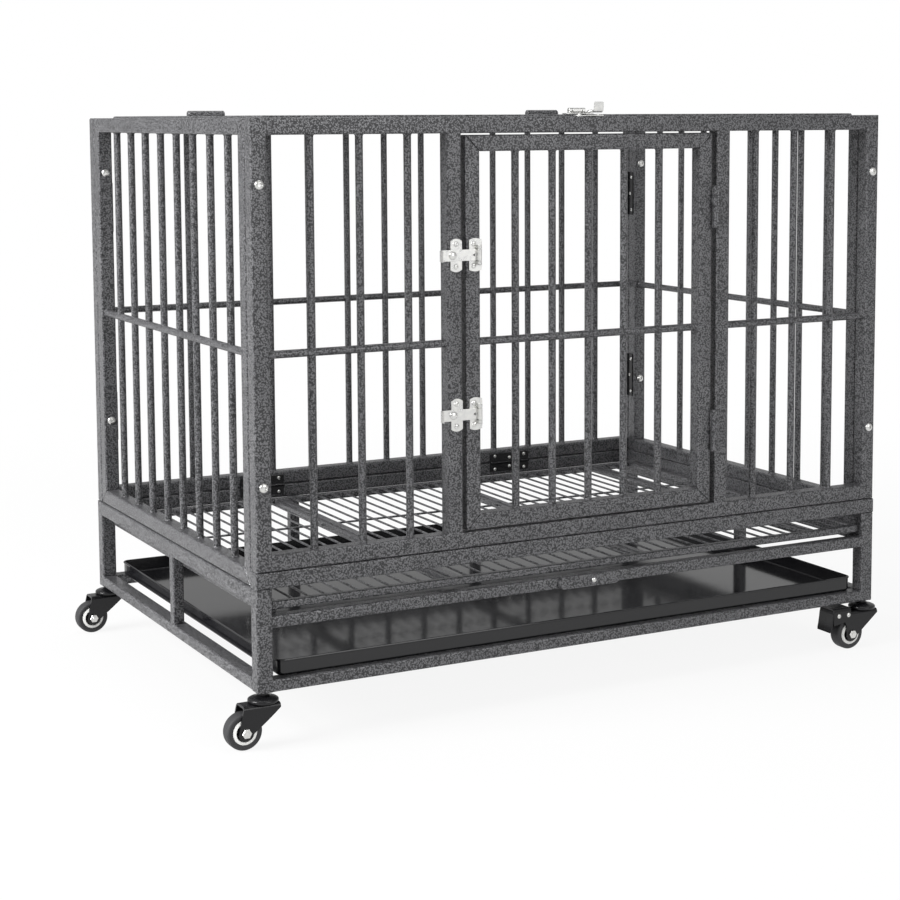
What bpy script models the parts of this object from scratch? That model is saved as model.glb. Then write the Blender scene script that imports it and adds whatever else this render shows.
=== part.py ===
"""A wheeled metal dog cage: tube frame, bar grilles, doors, latches, grate, tray and casters.

Metres, +Z up, +Y towards the back of the cage. The front stands at -Y.
"""
import math

import bmesh
import bpy
from mathutils import Matrix, Vector

# Overall sizes
FRAME_WIDTH = 0.920
FRAME_DEPTH = 0.620
PANEL_TOP = 0.742

# Tube, rod and sheet stock
TUBE = 0.020
SMALL_TUBE = 0.015
BAR = 0.0095
BAR_SIDES = 8
SHEET = 0.0012
TOUCH = 0.0003
SEAM = 0.0005
MERGE = 0.000002
DIGITS = 7

# Base: heights over its own underside, and places from the middle
SIDE_RAIL_RISE = 0.1245
FRONT_RAIL_RISE = 0.1445
MID_RAIL_RISE = 0.077
SIDE_POST_Y = -0.0075
REAR_POST_X = 0.157

# Grilles
PANEL_INSET = 0.001
PANEL_PLAY = 0.0013
DOORWAY_WIDTH = 0.3765
DOORWAY_X = 0.00225
DOOR_LATCH_GAP = 0.0053
DOOR_HINGE_GAP = 0.0070
DOOR_TOP_GAP = 0.002
DOOR_BOTTOM_GAP = 0.0015
FRONT_BAR_PITCH = 0.0636
FRONT_BAR_SHIFT = 0.0035
DOOR_BAR_PITCH = 0.0531
SIDE_BARS = 8
BACK_BARS = 13

# Roof lid
LID_BARS = 12
LID_RISE = 0.0025
LID_SIDE_GAP = 0.006
LID_FRONT_GAP = 0.005
LID_REAR_GAP = 0.009

# Lift-off hinges
BARREL_RADIUS = 0.0055
BARREL_HALF = 0.0277
BARREL_SIDES = 12
HINGE_PIN_RADIUS = 0.0022
HINGE_PIN_LENGTH = 0.016
PIN_PLAY = 0.0004
DOOR_HINGE_INSET = 0.096
LID_HINGE_PLACES = (-0.292, 0.272)

# Corner and base butt hinges
LEAF_LENGTH = 0.070
LEAF_WIDTH = 0.0145
LEAF_THICKNESS = 0.0015
KNUCKLE_RADIUS = 0.0025
KNUCKLE_SIDES = 10
CORNER_HINGE_SPREAD = 0.1495
BASE_HINGE_X = 0.2125

# Panel bolts
BOLT_RISE = 0.1005
BOLT_DROP = 0.077
BOLT_HEAD_RADIUS = 0.0057
BOLT_HEAD_HEIGHT = 0.0030
BOLT_RADIUS = 0.0027
BOLT_GRIP = 0.010
BOLT_SIDES = 12
HEAD_CROWN = 0.6
HEAD_EDGE = 0.4

# Latches
LATCH_SPREAD = 0.098
LATCH_X = 0.001
LATCH_PLATE_LENGTH = 0.041
LATCH_PLATE_WIDTH = 0.016
LATCH_ARM_WIDTH = 0.014
LATCH_AXIS_HEIGHT = 0.0050
LATCH_AXIS_SETBACK = 0.0043
LATCH_BARREL_RADIUS = 0.0032
LATCH_PIN_RADIUS = 0.0013
LATCH_BORE_RADIUS = 0.0017
LATCH_REACH = 0.0155
LATCH_LIP_RUN = 0.0115
LATCH_LIP_BEND = 0.0045
LATCH_LIP_LEAN = 0.0011
LATCH_FLANGE_LENGTH = 0.033
LATCH_FLANGE_DEPTH = 0.008
LATCH_FOOT_HALF = 0.0026
LATCH_FOOT_LENGTH = 0.0045
LATCH_SIDES = 12
DIMPLE_PLACE = -0.0024
DIMPLE_RADIUS = 0.0053
DIMPLE_HEIGHT = 0.0026

# Grate
GRATE_LIFT = 0.0055
GRATE_FRAME = 0.010
GRATE_MEMBER = 0.020
GRATE_MEMBER_TOP = 0.0075
GRATE_MEMBER_PITCH = 0.2775
GRATE_MEMBER_INSET = 0.073
GRATE_WIRE = 0.003
GRATE_WIRE_PITCH = 0.0213
GRATE_CROSS_WIRE_Y = 0.083
GRATE_SIDE_GAP = 0.002
GRATE_FRONT_SETBACK = 0.006
GRATE_REAR_GAP = 0.010
RUNNER_REACH = 0.012
RUNNER_HEIGHT = 0.008
RUNNER_SEAT = 0.002

# Tray
TRAY_HEIGHT = 0.020
TRAY_WALL = 0.0015
TRAY_SIDE_GAP = 0.010
TRAY_FRONT_SETBACK = 0.010
TRAY_REAR_REST = 0.003

# Retainer
RETAINER_WIDTH = 0.016
RETAINER_LONG_END = 0.051
RETAINER_SHORT_END = 0.040
RETAINER_THICKNESS = 0.005
RETAINER_X = 0.000
RETAINER_SCREW_RADIUS = 0.0033
RETAINER_SCREW_HEAD = 0.0018
RETAINER_SHANK_RADIUS = 0.0020

# Casters
WHEEL_RADIUS = 0.0225
WHEEL_WIDTH = 0.018
WHEEL_SIDES = 32
TREAD_BEVEL = 0.0035
RACEWAY_SIDES = 20
CASTER_TRAIL = 0.0265
AXLE_RADIUS = 0.003
AXLE_HEAD = 0.0055
AXLE_REACH = 0.017
FORK_WIDTH = 0.026
FORK_SHEET = 0.0025
FORK_EYE = 0.0095
FORK_FRONT = 0.0175
FORK_BACK = 0.0020
FORK_EAR = 0.0145
FORK_EAR_DROP = 0.0095
FORK_EAR_FOOT = 0.0345
WHEEL_GAP = 0.0065
RACEWAY_GAP = 0.0004
RACEWAY_RADIUS = 0.019
RACEWAY_HEIGHT = 0.0113
RIM_HEIGHT = 0.0028
COLLAR_RADIUS = 0.006
COLLAR_HEIGHT = 0.003

# Brake pedals: places behind the axle, and heights over the fork's top or under it
BRAKE_PIVOT_BACK = 0.0101
BRAKE_PIVOT_DROP = 0.0038
BRAKE_RISE = 0.0070
BRAKE_GAP = 0.0110
BRAKE_TOE_BACK = 0.0040
BRAKE_TOE_DROP = 0.0255
BRAKE_FRONT = 0.0056
BRAKE_CHEEK_DROP = 0.0095
BRAKE_PAD_BACK = 0.0085
BRAKE_PAD_LENGTH = 0.0055
BRAKE_PAD_DROP = 0.0148
BRAKE_WALL = 0.0020

# Places that follow from the sizes above
FORK_TOP = 2 * WHEEL_RADIUS + WHEEL_GAP + FORK_SHEET
RACEWAY_LOW = FORK_TOP + RACEWAY_GAP
BASE_BOTTOM = RACEWAY_LOW + RACEWAY_HEIGHT + TOUCH
SIDE_RAIL_TOP = BASE_BOTTOM + SIDE_RAIL_RISE
FRONT_RAIL_TOP = BASE_BOTTOM + FRONT_RAIL_RISE
MID_RAIL_LOW = BASE_BOTTOM + MID_RAIL_RISE
GRATE_LOW = MID_RAIL_LOW + SMALL_TUBE + GRATE_LIFT
HALF_WIDTH = FRAME_WIDTH / 2
HALF_DEPTH = FRAME_DEPTH / 2
POST_X = HALF_WIDTH - TUBE / 2
POST_Y = HALF_DEPTH - TUBE / 2
PANEL_HALF = HALF_WIDTH - PANEL_INSET
PANEL_INNER = PANEL_HALF - TUBE
FRONT_PANEL_LOW = FRONT_RAIL_TOP + SEAM
SIDE_PANEL_LOW = SIDE_RAIL_TOP + SEAM
CROSSBAR_Z = (SIDE_PANEL_LOW + PANEL_TOP) / 2
BOLT_HEIGHTS = (FRONT_PANEL_LOW + BOLT_RISE, PANEL_TOP - BOLT_DROP)
CORNER_HINGE_HEIGHTS = (CROSSBAR_Z - CORNER_HINGE_SPREAD, CROSSBAR_Z + CORNER_HINGE_SPREAD)
FRONT_FACE = -HALF_DEPTH
BACK_FACE = HALF_DEPTH
FRONT_INNER = FRONT_FACE + TUBE
BACK_INNER = BACK_FACE - TUBE
BOTTOM_RAIL_TOP = BASE_BOTTOM + SMALL_TUBE
LID_TOP = PANEL_TOP + LID_RISE
LID_HALF = PANEL_INNER - LID_SIDE_GAP
LID_FRONT = FRONT_INNER + LID_FRONT_GAP
LID_REAR = BACK_INNER - LID_REAR_GAP
DOORWAY_LEFT = DOORWAY_X - DOORWAY_WIDTH / 2
DOORWAY_RIGHT = DOORWAY_X + DOORWAY_WIDTH / 2
DOOR_LEFT = DOORWAY_LEFT + DOOR_LATCH_GAP
DOOR_RIGHT = DOORWAY_RIGHT - DOOR_HINGE_GAP
DOOR_LOW = FRONT_PANEL_LOW + TUBE + DOOR_BOTTOM_GAP
DOOR_HIGH = PANEL_TOP - TUBE - DOOR_TOP_GAP
DOOR_MIDDLE = (DOOR_LOW + DOOR_HIGH) / 2
DOOR_HINGE_HEIGHTS = (DOOR_LOW + DOOR_HINGE_INSET, DOOR_HIGH - DOOR_HINGE_INSET)
LATCH_HEIGHTS = (DOOR_MIDDLE - LATCH_SPREAD, DOOR_MIDDLE + LATCH_SPREAD)
SIDE_PANEL_FRONT = FRONT_INNER + PANEL_PLAY
SIDE_PANEL_REAR = BACK_INNER - TOUCH

# The model's origin is the middle of the whole object's underside
LEFT_END = -POST_X - CASTER_TRAIL - WHEEL_RADIUS
RIGHT_END = POST_X + RACEWAY_RADIUS
FRONT_END = FRONT_FACE - LATCH_REACH
BACK_END = POST_Y + RACEWAY_RADIUS
CENTRE = Vector(((LEFT_END + RIGHT_END) / 2, (FRONT_END + BACK_END) / 2, 0.0))

for thing in list(bpy.data.objects):
    bpy.data.objects.remove(thing, do_unlink=True)


# Materials

def material(name, colour, metallic, roughness):
    """One Principled material in a plain colour."""
    made = bpy.data.materials.new(name)
    made.use_nodes = True
    shader = made.node_tree.nodes["Principled BSDF"]
    shader.inputs["Base Color"].default_value = (*colour, 1.0)
    shader.inputs["Metallic"].default_value = metallic
    shader.inputs["Roughness"].default_value = roughness
    return made


HAMMERTONE = material("hammertone_paint", (0.13, 0.13, 0.135), 0.6, 0.45)
BLACK_PAINT = material("black_paint", (0.02, 0.02, 0.022), 0.3, 0.4)
ZINC = material("zinc_plate", (0.75, 0.75, 0.74), 1.0, 0.3)
TRAY_PLASTIC = material("tray_black", (0.015, 0.015, 0.018), 0.0, 0.3)
TYRE = material("grey_tyre", (0.06, 0.06, 0.065), 0.0, 0.7)


# Mesh tools

def closed_mesh(build):
    """Finish a bmesh as a mesh whose faces all point out."""
    bmesh.ops.recalc_face_normals(build, faces=build.faces)
    if build.calc_volume(signed=True) < 0:
        bmesh.ops.reverse_faces(build, faces=build.faces)
    mesh = bpy.data.meshes.new("solid")
    build.to_mesh(mesh)
    build.free()
    return mesh


def box(x, y, z):
    """A box from its (low, high) pairs."""
    return prism([(x[0], y[0]), (x[1], y[0]), (x[1], y[1]), (x[0], y[1])], z[0], z[1])


def prism(outline, low, high, turn=None):
    """An outline in (a, b) pushed along c from low to high; turn maps (a, b, c) to the model."""
    build = bmesh.new()
    base = [build.verts.new((a, b, low)) for a, b in outline]
    face = build.faces.new(base)
    pushed = bmesh.ops.extrude_face_region(build, geom=[face])
    lifted = [part for part in pushed["geom"] if isinstance(part, bmesh.types.BMVert)]
    bmesh.ops.translate(build, verts=lifted, vec=(0, 0, high - low))
    if turn is not None:
        build.transform(turn)
    return closed_mesh(build)


# Maps of (a, b, c) on to the model's axes
ALONG_Y = Matrix(((1, 0, 0, 0), (0, 0, 1, 0), (0, 1, 0, 0), (0, 0, 0, 1)))
ALONG_X = Matrix(((0, 0, 1, 0), (1, 0, 0, 0), (0, 1, 0, 0), (0, 0, 0, 1)))


def rod(start, end, radius, sides, phase=0.0):
    """A straight round rod between two points."""
    start = Vector(start)
    end = Vector(end)
    along = end - start
    outline = []
    for step in range(sides):
        angle = phase + 2 * math.pi * step / sides
        outline.append((radius * math.cos(angle), radius * math.sin(angle)))
    turn = Matrix.Translation(start) @ along.to_track_quat("Z", "Y").to_matrix().to_4x4()
    return prism(outline, 0.0, along.length, turn)


def turned(profile, sides, place=None):
    """A profile of (radius, height) spun round the Z axis; its ends close on each other or on the axis."""
    build = bmesh.new()
    rings = []
    for radius, height in profile:
        if radius == 0.0:
            rings.append([build.verts.new((0, 0, height))])
            continue
        ring = []
        for step in range(sides):
            angle = 2 * math.pi * (step + 0.5) / sides
            ring.append(build.verts.new((radius * math.cos(angle), radius * math.sin(angle), height)))
        rings.append(ring)
    pairs = list(zip(rings, rings[1:]))
    if len(rings[0]) > 1 and len(rings[-1]) > 1:
        pairs.append((rings[-1], rings[0]))
    for lower, upper in pairs:
        for step in range(sides):
            after = (step + 1) % sides
            corners = [lower[step % len(lower)], lower[after % len(lower)],
                       upper[after % len(upper)], upper[step % len(upper)]]
            face = [v for n, v in enumerate(corners) if v not in corners[:n]]
            if len(face) > 2:
                build.faces.new(face)
    if place is not None:
        build.transform(place)
    return closed_mesh(build)


def lattice(across, up, open_cells, low, high, turn=None):
    """A flat frame: cells between the across and up lines are solid, apart from the open ones."""
    build = bmesh.new()
    points = {}

    def corner(i, j, level):
        key = (i, j, level)
        if key not in points:
            points[key] = build.verts.new((across[i], up[j], low if level == 0 else high))
        return points[key]

    def filled(i, j):
        inside = 0 <= i < len(across) - 1 and 0 <= j < len(up) - 1
        return inside and (i, j) not in open_cells

    for i in range(len(across) - 1):
        for j in range(len(up) - 1):
            if not filled(i, j):
                continue
            for level in (0, 1):
                build.faces.new([corner(i, j, level), corner(i + 1, j, level),
                                 corner(i + 1, j + 1, level), corner(i, j + 1, level)])
            for beside, start, end in (((i - 1, j), (i, j), (i, j + 1)),
                                       ((i + 1, j), (i + 1, j), (i + 1, j + 1)),
                                       ((i, j - 1), (i, j), (i + 1, j)),
                                       ((i, j + 1), (i, j + 1), (i + 1, j + 1))):
                if not filled(*beside):
                    build.faces.new([corner(*start, 0), corner(*end, 0),
                                     corner(*end, 1), corner(*start, 1)])
    if turn is not None:
        build.transform(turn)
    return closed_mesh(build)


def blocks(boxes):
    """One solid of square-set boxes that overlap, each three (low, high) pairs."""
    lines = [sorted({round(end, DIGITS) for sides in boxes for end in sides[axis]}) for axis in range(3)]
    filled = set()
    for sides in boxes:
        spans = []
        for axis in range(3):
            low, high = (lines[axis].index(round(end, DIGITS)) for end in sorted(sides[axis]))
            spans.append(range(low, high))
        filled.update((i, j, k) for i in spans[0] for j in spans[1] for k in spans[2])
    build = bmesh.new()
    points = {}

    def corner(key):
        if key not in points:
            points[key] = build.verts.new([lines[axis][key[axis]] for axis in range(3)])
        return points[key]

    for cell in sorted(filled):
        for axis in range(3):
            for step in (0, 1):
                beside = list(cell)
                beside[axis] += 2 * step - 1
                if tuple(beside) in filled:
                    continue
                ring = []
                for u, v in ((0, 0), (1, 0), (1, 1), (0, 1)):
                    key = list(cell)
                    key[axis] += step
                    key[(axis + 1) % 3] += u
                    key[(axis + 2) % 3] += v
                    ring.append(corner(tuple(key)))
                build.faces.new(ring)
    bmesh.ops.recalc_face_normals(build, faces=build.faces)
    bmesh.ops.dissolve_limit(build, angle_limit=0.001, verts=build.verts, edges=build.edges)
    return closed_mesh(build)


def together(meshes):
    """Several solids that don't touch, as one mesh."""
    build = bmesh.new()
    for mesh in meshes:
        build.from_mesh(mesh)
    joined = bpy.data.meshes.new("solids")
    build.to_mesh(joined)
    build.free()
    return joined


def boolean(first, others, operation):
    """The first solid joined with the others in one step, or cut by them."""
    scene = bpy.context.scene.collection
    group = bpy.data.collections.new("tools")
    scene.children.link(group)
    blank = bpy.data.objects.new("blank", first)
    scene.objects.link(blank)
    tools = [bpy.data.objects.new("tool", other) for other in others]
    for tool in tools:
        group.objects.link(tool)
    step = blank.modifiers.new("step", "BOOLEAN")
    step.operation = operation
    step.solver = "EXACT"
    step.operand_type = "COLLECTION"
    step.collection = group
    evaluated = blank.evaluated_get(bpy.context.evaluated_depsgraph_get())
    result = bpy.data.meshes.new_from_object(evaluated)
    for thing in [blank] + tools:
        bpy.data.objects.remove(thing, do_unlink=True)
    bpy.data.collections.remove(group)
    build = bmesh.new()
    build.from_mesh(result)
    bmesh.ops.remove_doubles(build, verts=build.verts, dist=MERGE)
    build.to_mesh(result)
    build.free()
    return result


def joined(first, *others):
    """One solid of all of these, which overlap."""
    return boolean(first, others, "UNION")


def cut(first, *tools):
    """The first solid less the tools."""
    return boolean(first, tools, "DIFFERENCE")


def moved(mesh, matrix):
    """The mesh carried by a matrix, with its faces still pointing out."""
    build = bmesh.new()
    build.from_mesh(mesh)
    build.transform(matrix)
    if matrix.determinant() < 0:
        bmesh.ops.reverse_faces(build, faces=build.faces)
    carried = bpy.data.meshes.new("carried")
    build.to_mesh(carried)
    build.free()
    return carried


def piece(name, mesh, finish, pivot=(0, 0, 0)):
    """Make a named piece whose origin is the pivot, and set it in the centred model."""
    pivot = Vector(pivot)
    mesh.transform(Matrix.Translation(-pivot))
    mesh.name = name
    mesh.materials.clear()
    mesh.materials.append(finish)
    mesh.shade_smooth()
    mesh.set_sharp_from_angle(angle=math.radians(50))
    made = bpy.data.objects.new(name, mesh)
    made.location = pivot - CENTRE
    bpy.context.scene.collection.objects.link(made)
    return made


def spaced(low, high, count, width):
    """Middles of count bars that leave equal gaps between low and high."""
    gap = (high - low - count * width) / (count + 1)
    return [low + gap * (n + 1) + width * (n + 0.5) for n in range(count)]


def bars(places, low, high, turn):
    """Upright bars at (a, c) places from b = low to high, turned on to the model."""
    rods = [rod((a, low, c), (a, high, c), BAR / 2, BAR_SIDES) for a, c in places]
    return moved(together(rods), turn)


def crossbars(spans, height, turn):
    """Level bars along a, from (start, end, c) spans at b = height."""
    phase = math.pi / BAR_SIDES
    rods = [rod((a, height, c), (b, height, c), BAR / 2, BAR_SIDES, phase) for a, b, c in spans]
    return moved(together(rods), turn)


def bolt_holes(side_list, heights, start, end):
    """Cutters along Y for the panel bolts."""
    radius = BOLT_RADIUS + TOUCH
    holes = []
    for side in side_list:
        for height in heights:
            x = side * (PANEL_HALF - TUBE / 2)
            holes.append(rod((x, start, height), (x, end, height), radius, BOLT_SIDES))
    return together(holes)


# Base frame

def base_frame():
    """Posts, rails and the two runners that the grate slides on."""
    front = (FRONT_FACE, FRONT_INNER)
    back = (BACK_INNER, BACK_FACE)
    front_small = (FRONT_FACE, FRONT_FACE + SMALL_TUBE)
    back_small = (BACK_FACE - SMALL_TUBE, BACK_FACE)
    wide = (-HALF_WIDTH, HALF_WIDTH)
    deep = (FRONT_FACE, BACK_FACE)
    low_rail = (BASE_BOTTOM, BOTTOM_RAIL_TOP)
    top_rail = (SIDE_RAIL_TOP - TUBE, SIDE_RAIL_TOP)
    upright = (BASE_BOTTOM, SIDE_RAIL_TOP)
    runner_top = GRATE_LOW - TOUCH
    members = [
        (wide, front, (FRONT_RAIL_TOP - TUBE, FRONT_RAIL_TOP)),
        (wide, front_small, (MID_RAIL_LOW, MID_RAIL_LOW + SMALL_TUBE)),
        (wide, front, low_rail),
        (wide, back, top_rail),
        (wide, back, low_rail),
    ]
    for side in (-1, 1):
        tube = (side * HALF_WIDTH, side * (HALF_WIDTH - TUBE))
        small_tube = (side * HALF_WIDTH, side * (HALF_WIDTH - SMALL_TUBE))
        wall = HALF_WIDTH - TUBE
        runner = (side * (wall - RUNNER_REACH), side * (wall + RUNNER_SEAT))
        rear_middle = side * REAR_POST_X
        members += [
            (tube, front, (BASE_BOTTOM, FRONT_RAIL_TOP)),
            (tube, back, upright),
            (tube, deep, top_rail),
            (tube, deep, low_rail),
            (small_tube, (SIDE_POST_Y - SMALL_TUBE / 2, SIDE_POST_Y + SMALL_TUBE / 2), upright),
            ((rear_middle - SMALL_TUBE / 2, rear_middle + SMALL_TUBE / 2), back_small, upright),
            (runner, (FRONT_INNER - TUBE / 2, BACK_INNER + TUBE / 2),
             (runner_top - RUNNER_HEIGHT, runner_top)),
        ]
    screw_z = MID_RAIL_LOW + SMALL_TUBE / 2
    hole = rod((RETAINER_X, FRONT_FACE - TOUCH, screw_z),
               (RETAINER_X, FRONT_FACE + SMALL_TUBE / 2, screw_z),
               RETAINER_SHANK_RADIUS + TOUCH, BOLT_SIDES)
    piece("base_frame", cut(blocks(members), hole), HAMMERTONE)


# Front, back and side grilles

def front_panel():
    """The front grille: two bar bays and the doorway between them."""
    across = [-PANEL_HALF, -PANEL_INNER, DOORWAY_LEFT - TUBE, DOORWAY_LEFT,
              DOORWAY_RIGHT, DOORWAY_RIGHT + TUBE, PANEL_INNER, PANEL_HALF]
    up = [FRONT_PANEL_LOW, FRONT_PANEL_LOW + TUBE, PANEL_TOP - TUBE, PANEL_TOP]
    shell = lattice(across, up, {(1, 1), (3, 1), (5, 1)}, FRONT_FACE, FRONT_INNER, ALONG_Y)
    middle_y = (FRONT_FACE + FRONT_INNER) / 2
    bay_middle = (DOORWAY_WIDTH / 2 + TUBE + PANEL_INNER) / 2 - FRONT_BAR_SHIFT
    places = []
    for side in (-1, 1):
        for step in (-1, 0, 1):
            places.append((DOORWAY_X + side * bay_middle + step * FRONT_BAR_PITCH, middle_y))
    rise = (FRONT_PANEL_LOW + TUBE / 2, PANEL_TOP - TUBE / 2)
    end = PANEL_HALF - TUBE / 2
    spans = [(-end, DOORWAY_LEFT - TUBE / 2, middle_y), (DOORWAY_RIGHT + TUBE / 2, end, middle_y)]
    shape = joined(shell, bars(places, *rise, ALONG_Y), crossbars(spans, CROSSBAR_Z, ALONG_Y))
    holes = bolt_holes((-1, 1), BOLT_HEIGHTS, FRONT_FACE - TOUCH, FRONT_INNER + TOUCH)
    piece("front_panel", cut(shape, holes), HAMMERTONE)


def back_panel():
    """The back grille, as wide as the cage."""
    across = [-PANEL_HALF, -PANEL_INNER, PANEL_INNER, PANEL_HALF]
    up = [SIDE_PANEL_LOW, SIDE_PANEL_LOW + TUBE, PANEL_TOP - TUBE, PANEL_TOP]
    shell = lattice(across, up, {(1, 1)}, BACK_INNER, BACK_FACE, ALONG_Y)
    middle_y = (BACK_FACE + BACK_INNER) / 2
    places = [(x, middle_y) for x in spaced(-PANEL_INNER, PANEL_INNER, BACK_BARS, BAR)]
    end = PANEL_HALF - TUBE / 2
    shape = joined(shell, bars(places, SIDE_PANEL_LOW + TUBE / 2, PANEL_TOP - TUBE / 2, ALONG_Y),
                   crossbars([(-end, end, middle_y)], CROSSBAR_Z, ALONG_Y))
    holes = bolt_holes((-1, 1), BOLT_HEIGHTS, BACK_INNER - TOUCH, BACK_INNER + BOLT_GRIP + TOUCH)
    piece("back_panel", cut(shape, holes), HAMMERTONE)


def side_panel(name, side):
    """A side grille between the front and back ones; side is -1 on the left."""
    along = [SIDE_PANEL_FRONT, SIDE_PANEL_FRONT + TUBE, SIDE_PANEL_REAR - TUBE, SIDE_PANEL_REAR]
    up = [SIDE_PANEL_LOW, SIDE_PANEL_LOW + TUBE, PANEL_TOP - TUBE, PANEL_TOP]
    walls = sorted((side * PANEL_INNER, side * PANEL_HALF))
    shell = lattice(along, up, {(1, 1)}, *walls, ALONG_X)
    middle_x = side * (PANEL_INNER + TUBE / 2)
    places = [(y, middle_x) for y in spaced(along[1], along[2], SIDE_BARS, BAR)]
    shape = joined(shell, bars(places, SIDE_PANEL_LOW + TUBE / 2, PANEL_TOP - TUBE / 2, ALONG_X),
                   crossbars([(along[0] + TUBE / 2, along[3] - TUBE / 2, middle_x)],
                             CROSSBAR_Z, ALONG_X))
    front_holes = bolt_holes((side,), BOLT_HEIGHTS, SIDE_PANEL_FRONT - TOUCH,
                             FRONT_INNER + BOLT_GRIP + TOUCH)
    rear_holes = bolt_holes((side,), BOLT_HEIGHTS, along[2] - TOUCH, SIDE_PANEL_REAR + TOUCH)
    piece(name, cut(shape, front_holes, rear_holes), HAMMERTONE)


def headed(head_radius, head_height, face, shank_radius, end):
    """Profile of a round-headed screw whose head sits on the face and whose shank runs to the end."""
    return [(0.0, face - head_height), (head_radius * HEAD_CROWN, face - head_height),
            (head_radius, face - head_height * HEAD_EDGE), (head_radius, face),
            (shank_radius, face), (shank_radius, end), (0.0, end)]


def panel_bolts():
    """Round-headed bolts: front ones from outside, rear ones from inside the cage."""
    rear_face = SIDE_PANEL_REAR - TUBE
    for end, face, reach in (("front", FRONT_FACE, FRONT_INNER - FRONT_FACE + BOLT_GRIP),
                             ("rear", rear_face, BACK_INNER - rear_face + BOLT_GRIP)):
        profile = headed(BOLT_HEAD_RADIUS, BOLT_HEAD_HEIGHT, -TOUCH, BOLT_RADIUS, reach)
        for side, side_name in ((-1, "left"), (1, "right")):
            for height, level in zip(BOLT_HEIGHTS, ("lower", "upper")):
                place = Matrix.Translation((side * (PANEL_HALF - TUBE / 2), face, height)) @ ALONG_Y
                name = f"bolt_{end}_{side_name}_{level}"
                piece(name, turned(profile, BOLT_SIDES, place), ZINC, place.translation)


# Doors and their lift-off hinges

def front_door_hinge():
    """X and Y of the front door's upright hinge line."""
    half_gap = DOOR_HINGE_GAP / 2
    stand_off = math.sqrt((BARREL_RADIUS + TOUCH) ** 2 - half_gap ** 2)
    return DOOR_RIGHT + half_gap, FRONT_FACE - stand_off


def lid_hinge():
    """Y and Z of the roof lid's hinge line, clear alike of the lid's rear edge and the back rail's edge."""
    lid_edge = Vector((LID_REAR, LID_TOP))
    rail_edge = Vector((BACK_INNER, PANEL_TOP))
    across = rail_edge - lid_edge
    stand_off = math.sqrt((BARREL_RADIUS + TOUCH) ** 2 - (across.length / 2) ** 2)
    line = (lid_edge + rail_edge) / 2 + Vector((-across.y, across.x)).normalized() * stand_off
    return line.x, line.y


def front_door():
    """The door: a tube frame, five bars and a crossbar."""
    across = [DOOR_LEFT, DOOR_LEFT + TUBE, DOOR_RIGHT - TUBE, DOOR_RIGHT]
    up = [DOOR_LOW, DOOR_LOW + TUBE, DOOR_HIGH - TUBE, DOOR_HIGH]
    shell = lattice(across, up, {(1, 1)}, FRONT_FACE, FRONT_INNER, ALONG_Y)
    middle_y = (FRONT_FACE + FRONT_INNER) / 2
    places = [(step * DOOR_BAR_PITCH, middle_y) for step in (-2, -1, 0, 1, 2)]
    shape = joined(shell, bars(places, DOOR_LOW + TUBE / 2, DOOR_HIGH - TUBE / 2, ALONG_Y),
                   crossbars([(DOOR_LEFT + TUBE / 2, DOOR_RIGHT - TUBE / 2, middle_y)],
                             CROSSBAR_Z, ALONG_Y))
    x, y = front_door_hinge()
    piece("front_door", shape, HAMMERTONE, (x, y, DOOR_LOW))


def roof_lid():
    """The lid that closes the top, with bars from front to back."""
    across = [-LID_HALF, -LID_HALF + TUBE, LID_HALF - TUBE, LID_HALF]
    along = [LID_FRONT, LID_FRONT + TUBE, LID_REAR - TUBE, LID_REAR]
    shell = lattice(across, along, {(1, 1)}, LID_TOP - TUBE, LID_TOP)
    middle_z = LID_TOP - TUBE / 2
    flat = Matrix.Identity(4)
    places = [(x, middle_z) for x in spaced(across[1], across[2], LID_BARS, BAR)]
    end = LID_HALF - TUBE / 2
    shape = joined(shell, bars(places, LID_FRONT + TUBE / 2, LID_REAR - TUBE / 2, flat),
                   crossbars([(-end, end, middle_z)], (LID_FRONT + LID_REAR) / 2, flat))
    y, z = lid_hinge()
    piece("roof_lid", shape, HAMMERTONE, (0, y, z))


def lift_off_hinge(name, place, moving_name):
    """Two barrels end to end on a pin; place maps +Z to the hinge line, and its origin is the break."""
    half_gap = TOUCH / 2
    pin_half = [(0.0, -BARREL_HALF), (BARREL_RADIUS, -BARREL_HALF), (BARREL_RADIUS, -half_gap),
                (HINGE_PIN_RADIUS, -half_gap), (HINGE_PIN_RADIUS, HINGE_PIN_LENGTH),
                (0.0, HINGE_PIN_LENGTH)]
    bore = HINGE_PIN_RADIUS + PIN_PLAY
    depth = HINGE_PIN_LENGTH + PIN_PLAY
    socket_half = [(0.0, depth), (bore, depth), (bore, half_gap), (BARREL_RADIUS, half_gap),
                   (BARREL_RADIUS, BARREL_HALF), (0.0, BARREL_HALF)]
    pivot = place.translation
    piece(f"{name}_frame_half", turned(pin_half, BARREL_SIDES, place), HAMMERTONE, pivot)
    piece(f"{name}_{moving_name}_half", turned(socket_half, BARREL_SIDES, place), HAMMERTONE, pivot)


def door_hinges():
    """Two hinges on the front door and two on the roof lid."""
    x, y = front_door_hinge()
    for height, level in zip(DOOR_HINGE_HEIGHTS, ("lower", "upper")):
        lift_off_hinge(f"door_hinge_{level}", Matrix.Translation((x, y, height)), "door")
    y, z = lid_hinge()
    along_x = Matrix.Rotation(math.radians(-90), 4, "Y")
    for x, side_name in zip(LID_HINGE_PLACES, ("left", "right")):
        place = Matrix.Translation((x, y, z)) @ along_x
        lift_off_hinge(f"lid_hinge_{side_name}", place, "lid")


# Butt hinges

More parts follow.
